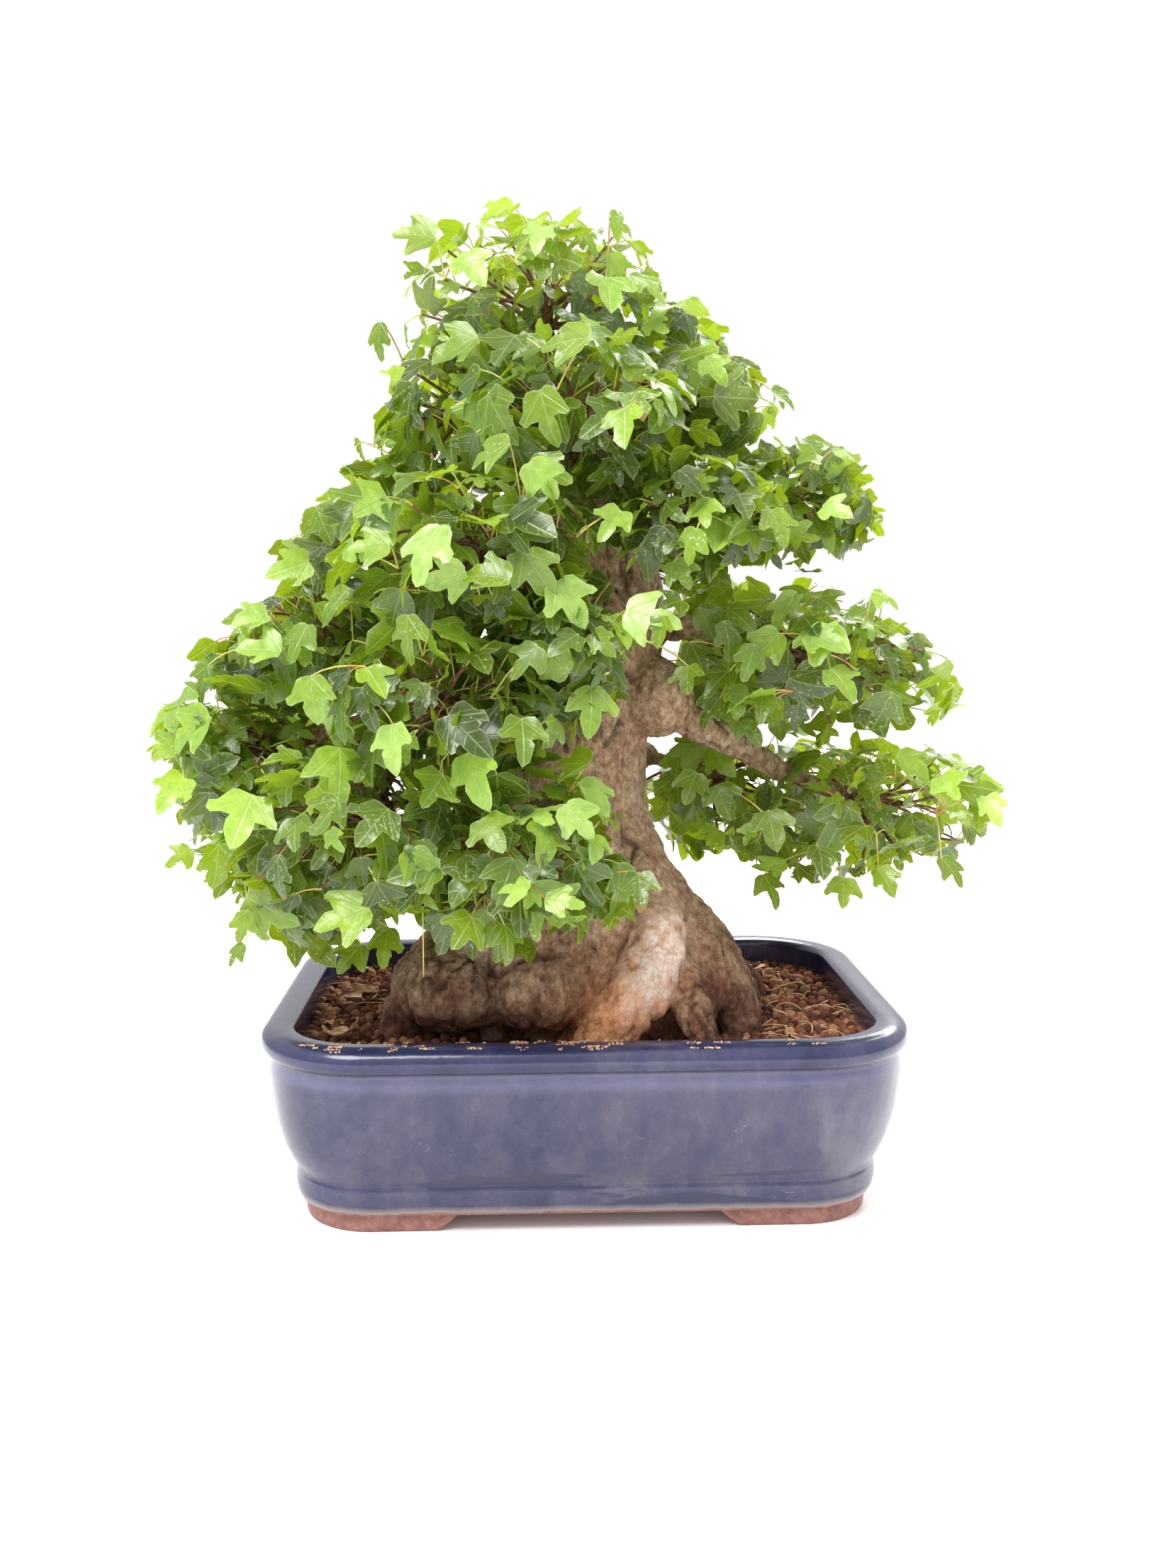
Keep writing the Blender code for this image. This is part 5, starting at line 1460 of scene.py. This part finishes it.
def leaf_turn(facing, tip):
    """Euler angles that lay a blade with its face towards facing and its tip towards tip."""
    facing = facing.normalized()
    along = (tip - facing * tip.dot(facing)).normalized()
    across = along.cross(facing)
    return tuple(Matrix((across, along, facing)).transposed().to_euler())


def share_of(point, middle, halves):
    """0 at the middle of an ellipsoid and 1 on its surface."""
    return math.sqrt(sum(((p - m) / h) ** 2 for p, m, h in zip(point, middle, halves)))


def ball_ways(count, draw):
    """Directions spread evenly over a ball by the golden angle."""
    first = draw.uniform(0, math.tau)
    found = []
    for i in range(count):
        height = 1 - 2 * (i + 0.5) / count
        ring = math.sqrt(1 - height * height)
        turn = first + math.pi * (3 - math.sqrt(5)) * i
        found.append(Vector((ring * math.cos(turn), ring * math.sin(turn), height)))
    return found


def shown_open(point, draw):
    """Whether a point shows outside the foliage's edges in the picture, or in one of its openings."""
    across, down = in_picture(point)
    rows, lefts, rights = zip(*PICTURE_EDGES)
    places, floors = zip(*PICTURE_FLOOR)
    left = np.interp(down, rows, lefts) - EDGE_SLACK
    right = np.interp(down, rows, rights) + EDGE_SLACK
    if not (left < across < right) or down > np.interp(across, places, floors) or down < rows[0]:
        return True
    for x, y, half_x, half_y in OPENINGS:
        if ((across - x) / half_x) ** 2 + ((down - y) / half_y) ** 2 < 1:
            return draw.random() < OPEN_CHANCE
    return False


def marked_leaves():
    """The single leaves by the spray that each one shows in front of, with its distance from the camera."""
    by_spray = {name: [] for name in SPRAYS}
    eye = camera.location - POT_PLACE
    turn = camera.matrix_world.to_3x3()
    for across, down, width, tip_way, tone in MARKED_LEAVES:
        aim = Vector((across - PICTURE[0] / 2, PICTURE[1] / 2 - down, -PIXELS_PER_RADIAN))
        aim = turn @ (aim / PIXELS_PER_RADIAN)
        hits = []
        for name in SPRAYS:
            middle, halves = FULLER.get(name, SPRAYS[name][:2])
            flat_aim = Vector([a / h for a, h in zip(aim, halves)])
            flat_eye = Vector([(e - m) / h for e, m, h in zip(eye, middle, halves)])
            closest = -flat_eye.dot(flat_aim) / flat_aim.dot(flat_aim)
            miss = (flat_eye + flat_aim * closest).length
            reach = math.sqrt(max(0.0, STRAY**2 - miss**2)) / flat_aim.length
            hits.append((miss > STRAY, closest - reach if miss <= STRAY else miss, closest - reach, name))
        _, _, distance, name = min(hits)
        distance = min(distance, (MARKED_FRONT - eye.y) / aim.y)
        by_spray[name].append((eye + aim * distance, width / PIXELS_PER_RADIAN * distance, tip_way, tone))
    return by_spray


# The solids' box, measured from the pot's middle, and the middles of all the blades so far
LOW = Vector(cad_box[0]) - POT_PLACE
HIGH = Vector(cad_box[1]) - POT_PLACE
leaf_places = []


def add_leaf(skeleton, draw, node, out, middle, halves, size, tint):
    """A stalk from a twig's node and the blade on it, if there is room for it."""
    others = [seat[:2] for seat in SPRAYS.values() if (Vector(seat[0]) - middle).length > OTHERS_APART]
    best = None
    for _ in range(LEAF_TRIES):
        way = out * draw.uniform(0.5, 1.0) + scattered(0.75, draw)
        way.z += 0.12
        way.normalize()
        stalk = draw.uniform(0.45, 1.05) * size
        base = node + way * stalk
        radial = Vector([r / (h * h) for r, h in zip(base - middle, halves)]).normalized()
        tip = way * 0.35 + radial * 0.55 + Vector((0, 0, -draw.uniform(0.25, 0.85)))
        tip += scattered(0.45, draw)
        facing = radial * 0.75 + Vector((0, 0, draw.uniform(0.30, 0.75)))
        facing += scattered(0.80, draw)
        facing.normalize()
        along = (tip - facing * tip.dot(facing)).normalized()
        centre = base + along * size * 0.5
        end = base + along * size
        if share_of(end, middle, halves) > SPRAY_MARGIN + draw.uniform(-0.06, 0.20):
            continue
        if any(not (low + BOX_MARGIN < c < high - BOX_MARGIN) for low, c, high in zip(LOW, end, HIGH)):
            continue
        if any(share_of(centre, *other) < OTHERS_CORE for other in others):
            continue
        if shown_open(end, draw) or shown_open(centre, draw):
            continue
        room = min([(centre - other).length for other in leaf_places[-ROOM_MEMORY:]] + [0.05])
        if best is None or room > best[0]:
            best = (room, base, facing, tip, centre)
    if best is None or best[0] < LEAF_ROOM:
        return False
    _, base, facing, tip, centre = best
    sag = node.lerp(base, 0.5) + Vector((0, 0, 0.10 * size))
    skeleton.line(bend_points(node, sag, base, 3), STALK_RADII, STALK)
    skeleton.point(base, BLADE, 0.0, size, tint, draw.randrange(LEAF_SHAPES), leaf_turn(facing, tip))
    leaf_places.append(centre)
    return True


def add_marked(skeleton, draw, nodes, centre, width, tip_way, tone):
    """A leaf at a given place, its face to the front and up, on a stalk from the nearest node."""
    turn = camera.matrix_world.to_3x3()
    angle = math.radians(tip_way)
    along = turn @ Vector((math.cos(angle), -math.sin(angle), 0.0))
    facing = turn @ Vector((0, 0, 1)) + Vector((draw.uniform(-0.85, 0.85), 0, draw.uniform(0.10, 1.30)))
    facing.normalize()
    along = (along - facing * along.dot(facing)).normalized()
    size = min(LONGEST_MARKED, width)
    base = centre - along * size * 0.5
    node = min((spot for spot, _ in nodes), key=lambda spot: (spot - base).length)
    sag = node.lerp(base, 0.6) + Vector((0, 0, 0.18 * (base - node).length))
    skeleton.line(bend_points(node, sag, base, 4), LONG_STALK_RADII, STALK)
    # The tone carries the painted light and shade of this leaf
    tone = clamp(draw.gauss(tone * 0.90, 0.10))
    skeleton.point(base, BLADE, 0.0, size, tone, draw.randrange(LEAF_SHAPES), leaf_turn(facing, along))
    leaf_places.append(centre)


def grow_spray(name, draw):
    """The skeleton of one spray, from the end of its branch out to its leaves."""
    middle, halves = FULLER.get(name, SPRAYS[name][:2])
    middle = Vector(middle)
    _, _, end, ahead = spray_seat(name)
    skeleton = Skeleton()
    core = end.lerp(middle, 0.95)
    skeleton.line([end - ahead * 0.004, end.lerp(core, 0.5), core], BRANCH_RADII, TWIG)
    ways = [way for way in ball_ways(TWIG_WAYS, draw) if way.dot(-ahead) < BACKWARD][:TWIGS]
    nodes = []
    for way in ways:
        target = middle + Vector([w * h for w, h in zip(way, halves)]) * draw.uniform(0.52, 0.84)
        for _ in range(5):
            if shown_open(target, draw):
                target = middle.lerp(target, 0.75)
        start = end.lerp(core, draw.uniform(0.15, 1.0))
        control = start.lerp(target, 0.5) + Vector((0, 0, draw.uniform(-0.004, 0.012)))
        control += scattered(0.006, draw)
        route = bend_points(start, control, target, 5)
        skeleton.line(route, TWIG_RADII, TWIG)
        for place in (2, 3, 4, 5, 5):
            nodes.append((route[place], (route[place] - route[place - 1]).normalized()))
    if name == "spray_low_front":
        start = min((spot for spot, _ in nodes), key=lambda spot: (spot - BARE_STALK[0]).length)
        skeleton.line([start, *BARE_STALK], BARE_STALK_RADII, STALK)
    for place, width, tip_way, tone in marked[name]:
        add_marked(skeleton, draw, nodes, place, width, tip_way, tone)
    draw.shuffle(nodes)
    made = 0
    for node, ahead_here in nodes * 3:
        if made >= LEAVES_PER_SPRAY:
            break
        out = (node - middle).normalized() * 0.8 + ahead_here * 0.5
        exposed = share_of(node, middle, halves)
        size = draw.uniform(*draw.choices(LEAF_LENGTHS, LENGTH_CHANCES)[0])
        # Painted light and shade: outer and upper blades lighter, inner ones darker; longest ones lighter too
        tint = draw.gauss(0.08 + 0.42 * exposed * exposed + 0.16 * out.z, 0.25)
        tint = clamp(tint + 14 * max(0.0, size - 0.024))
        made += add_leaf(skeleton, draw, node, out, middle, halves, size, tint)
    return skeleton


draw = random.Random(LEAF_SEED)
marked = marked_leaves()
for name in SPRAYS:
    skeleton = grow_spray(name, draw)
    piece = leafy_piece(
        name.replace("spray_", "leaves_"), skeleton.mesh(name + "_lines"), 3,
        leaf_finish, stalk_finish, twig_finish,
    )
    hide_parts(name)
    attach(piece, "root")


# Dry leaves and litter: three leaves that fell on the soil last autumn, curled, brittle and tan, with
# broken bits of leaf, twigs and straw round them and fine rootlets that show between the granules.
FALLEN_SEED = 5
LITTER_SEED = 21
DRY_THICKNESS = 0.0005
# How high the middle of a fallen leaf lies above its lowest point
DRY_LIFT = 0.0035
# The way each leaf's tip points, in degrees round from the pot's right end, and the leaf's length
FALLEN = {
    "fallen_leaf_left": (205, 0.026),
    "fallen_leaf_front": (80, 0.022),
    "fallen_leaf_back": (25, 0.028),
}
# Middle, half sizes and number of: leaf bits, twigs and straw, rootlets
LITTER = [
    ((-0.140, -0.030), (0.026, 0.070), (6, 8, 3)), ((-0.128, 0.050), (0.034, 0.050), (4, 5, 2)),
    ((-0.070, -0.108), (0.060, 0.010), (4, 9, 3)), ((0.138, -0.010), (0.026, 0.070), (1, 6, 22)),
    ((0.110, 0.070), (0.034, 0.030), (1, 4, 6)),
]
# Litter stays this far off the flare, and within this radius about the middle of each corner
LITTER_CLEARANCE = 0.008
LITTER_CORNER_X, LITTER_CORNER_Y, LITTER_CORNER_RADIUS = 0.118, 0.069, 0.040
LITTER_LIFT = 0.0022

# Dry leaf: papery and dull, tan with brown stains
dry_finish = grained_finish(
    "dry_papery_leaf", 5.88, 6.0, ((0.34, "6A432A"), (0.66, "D8BE94"), (0.50, "A67E56")), 0.8,
    relief=(0.7, 0.0008), grain_mix=0.6,
)

draw = random.Random(FALLEN_SEED)
for name, (heading, length) in FALLEN.items():
    low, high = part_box(name)
    sample = leaf_blade("sample", draw)
    turn = Matrix.Rotation(math.radians(heading - 90), 4, "Z")
    curled = []
    for vertex in sample.data.vertices:
        p = vertex.co - Vector((0, 0.5, 0))
        lift = 0.9 * p.x * p.x + 0.35 * p.y * p.y
        curled.append(Vector((p.x * 0.86, p.y * 0.92, lift)) * length)
    middle = Vector(((low.x + high.x) / 2, (low.y + high.y) / 2, low.z + DRY_LIFT))
    faces = [tuple(face.vertices) for face in sample.data.polygons]
    dry = add_piece("dry_" + name, [turn @ p + middle for p in curled], faces, dry_finish)
    wall = dry.modifiers.new("thickness", "SOLIDIFY")
    wall.thickness = DRY_THICKNESS
    finer = dry.modifiers.new("finer", "SUBSURF")
    finer.levels = finer.render_levels = 1
    bake_modifiers(dry)
    dry.data.shade_smooth()
    bpy.data.objects.remove(sample, do_unlink=True)
    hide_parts(name)
    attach(dry, "root")

# Rootlets and straw: dry, fibrous and light tan
rootlet_finish = grained_finish(
    "dry_rootlet_and_straw", 7.14, 3.0, ((0.34, "A87C52"), (0.68, "DDBD92")), 0.85
)
draw = random.Random(LITTER_SEED)
litter = Skeleton()
for (x, y), (half_x, half_y), (bits, straws, rootlets) in LITTER:
    for number, kind in ((bits, BLADE), (straws, TWIG), (rootlets, STALK)):
        for _ in range(number):
            spot = Vector((x + half_x * draw.uniform(-1, 1), y + half_y * draw.uniform(-1, 1), 0.0))
            corner = Vector((abs(spot.x) - LITTER_CORNER_X, abs(spot.y) - LITTER_CORNER_Y))
            past_corner = min(corner) > 0 and corner.length > LITTER_CORNER_RADIUS
            if outside_flare(spot.x, spot.y) < LITTER_CLEARANCE or past_corner:
                continue
            spot.z = soil_height(spot.x, spot.y) + LITTER_LIFT
            heading = draw.uniform(0, math.tau)
            ahead = Vector((math.cos(heading), math.sin(heading), 0))
            if kind == BLADE:
                facing = Vector((draw.uniform(-0.6, 0.6), draw.uniform(-0.8, 0.3), 1.0))
                size = draw.uniform(0.005, 0.012)
                shape = draw.randrange(LEAF_SHAPES)
                litter.point(spot, BLADE, 0.0, size, 0.5, shape, leaf_turn(facing, ahead))
                continue
            reach = draw.uniform(0.008, 0.024)
            sway = (draw.uniform(-0.006, 0.006), draw.uniform(-0.006, 0.006))
            arch = draw.uniform(0.0, 0.006)
            # Rootlets arch up out of the soil, and straw lies flat
            bend = spot + ahead * reach * 0.5 + Vector((*sway, arch if kind == STALK else 0.0))
            route = bend_points(spot, bend, spot + ahead * reach + Vector((0, 0, -0.001)), 6)
            thick = draw.uniform(0.0004, 0.0009) if kind == TWIG else draw.uniform(0.00025, 0.0005)
            litter.line(route, [thick] * 7, kind)
scraps = leafy_piece(
    "soil_litter", litter.mesh("litter_lines"), 4, dry_finish, rootlet_finish, rootlet_finish
)
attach(scraps, "root")
for shape in list(blade_group.objects):
    bpy.data.objects.remove(shape, do_unlink=True)


# Studio: a plain white floor with painted light, a glow that is weak by the pot and strong away from
# it, and bright even light from all round, with a soft key from the upper left and a weaker one from behind.
FLOOR_HALF = 4
# The painted glow grows from its least to its greatest strength between these distances from the middle
PAINTED_GLOW_REACH = (0.19, 0.34)
PAINTED_GLOW = (0.02, 0.40)

# White paper: matt and very slightly uneven
floor_finish = grained_finish("white_studio_floor", 333, 2.0, ((0.30, "F6F4F4"), (0.70, "FAF9F9")), 0.9)
tree = floor_finish.node_tree
shader = tree.nodes["Principled BSDF"]
shader.inputs["Specular IOR Level"].default_value = 0.1
shader.inputs["Emission Color"].default_value = hex_colour("FFFBFB")
place = add_node(tree, "ShaderNodeTexCoord").outputs["Object"]
away = add_node(tree, "ShaderNodeVectorMath", {0: place}, operation="LENGTH")
# Painted light: the floor glows, weakly near the pot and strongly further out
lit = add_node(
    tree, "ShaderNodeMapRange",
    {0: away.outputs["Value"], 1: PAINTED_GLOW_REACH[0], 2: PAINTED_GLOW_REACH[1], 3: PAINTED_GLOW[0], 4: PAINTED_GLOW[1]},
)
tree.links.new(lit.outputs[0], shader.inputs["Emission Strength"])
floor_points = [(sx * FLOOR_HALF, sy * FLOOR_HALF, 0) for sx, sy in ((-1, -1), (1, -1), (1, 1), (-1, 1))]
floor = add_piece("floor", floor_points, [(0, 1, 2, 3)], floor_finish)

# The surround is plain white to the camera, and lights the plant more from above than from below
world = bpy.data.worlds.new("white_surround")
world.use_nodes = True
tree = world.node_tree
place = add_node(tree, "ShaderNodeTexCoord").outputs["Generated"]
axes = add_node(tree, "ShaderNodeSeparateXYZ", {0: place})
seen = add_node(tree, "ShaderNodeLightPath").outputs["Is Camera Ray"]
from_above = add_node(tree, "ShaderNodeMapRange", {0: axes.outputs["Z"], 1: -0.25, 2: 0.45, 3: 0.54, 4: 1.14})
level = add_node(tree, "ShaderNodeMix", {0: seen, 2: from_above.outputs[0], 3: 1.0}, data_type="FLOAT")
tree.nodes["Background"].inputs["Color"].default_value = (1.0, 1.0, 1.0, 1.0)
tree.links.new(level.outputs[0], tree.nodes["Background"].inputs["Strength"])
bpy.context.scene.world = world
bpy.context.scene.view_settings.view_transform = "Standard"

# Two round soft lights: where each stands, the point it faces, its width in metres and its watts
for name, spot, aim, size, power in (
    ("key_light", (-0.9, -1.2, 2.3), (0.0, 0.0, 0.30), 1.5, 72.0),
    ("back_light", (0.8, 1.7, 1.7), (0.0, 0.0, 0.35), 1.5, 64.0),
):
    lamp = bpy.data.lights.new(name, "AREA")
    lamp.shape = "DISK"
    lamp.size = size
    lamp.energy = power
    light = bpy.data.objects.new(name, lamp)
    light.location = spot
    light.rotation_euler = (Vector(aim) - Vector(spot)).to_track_quat("-Z", "Y").to_euler()
    bpy.context.scene.collection.objects.link(light)
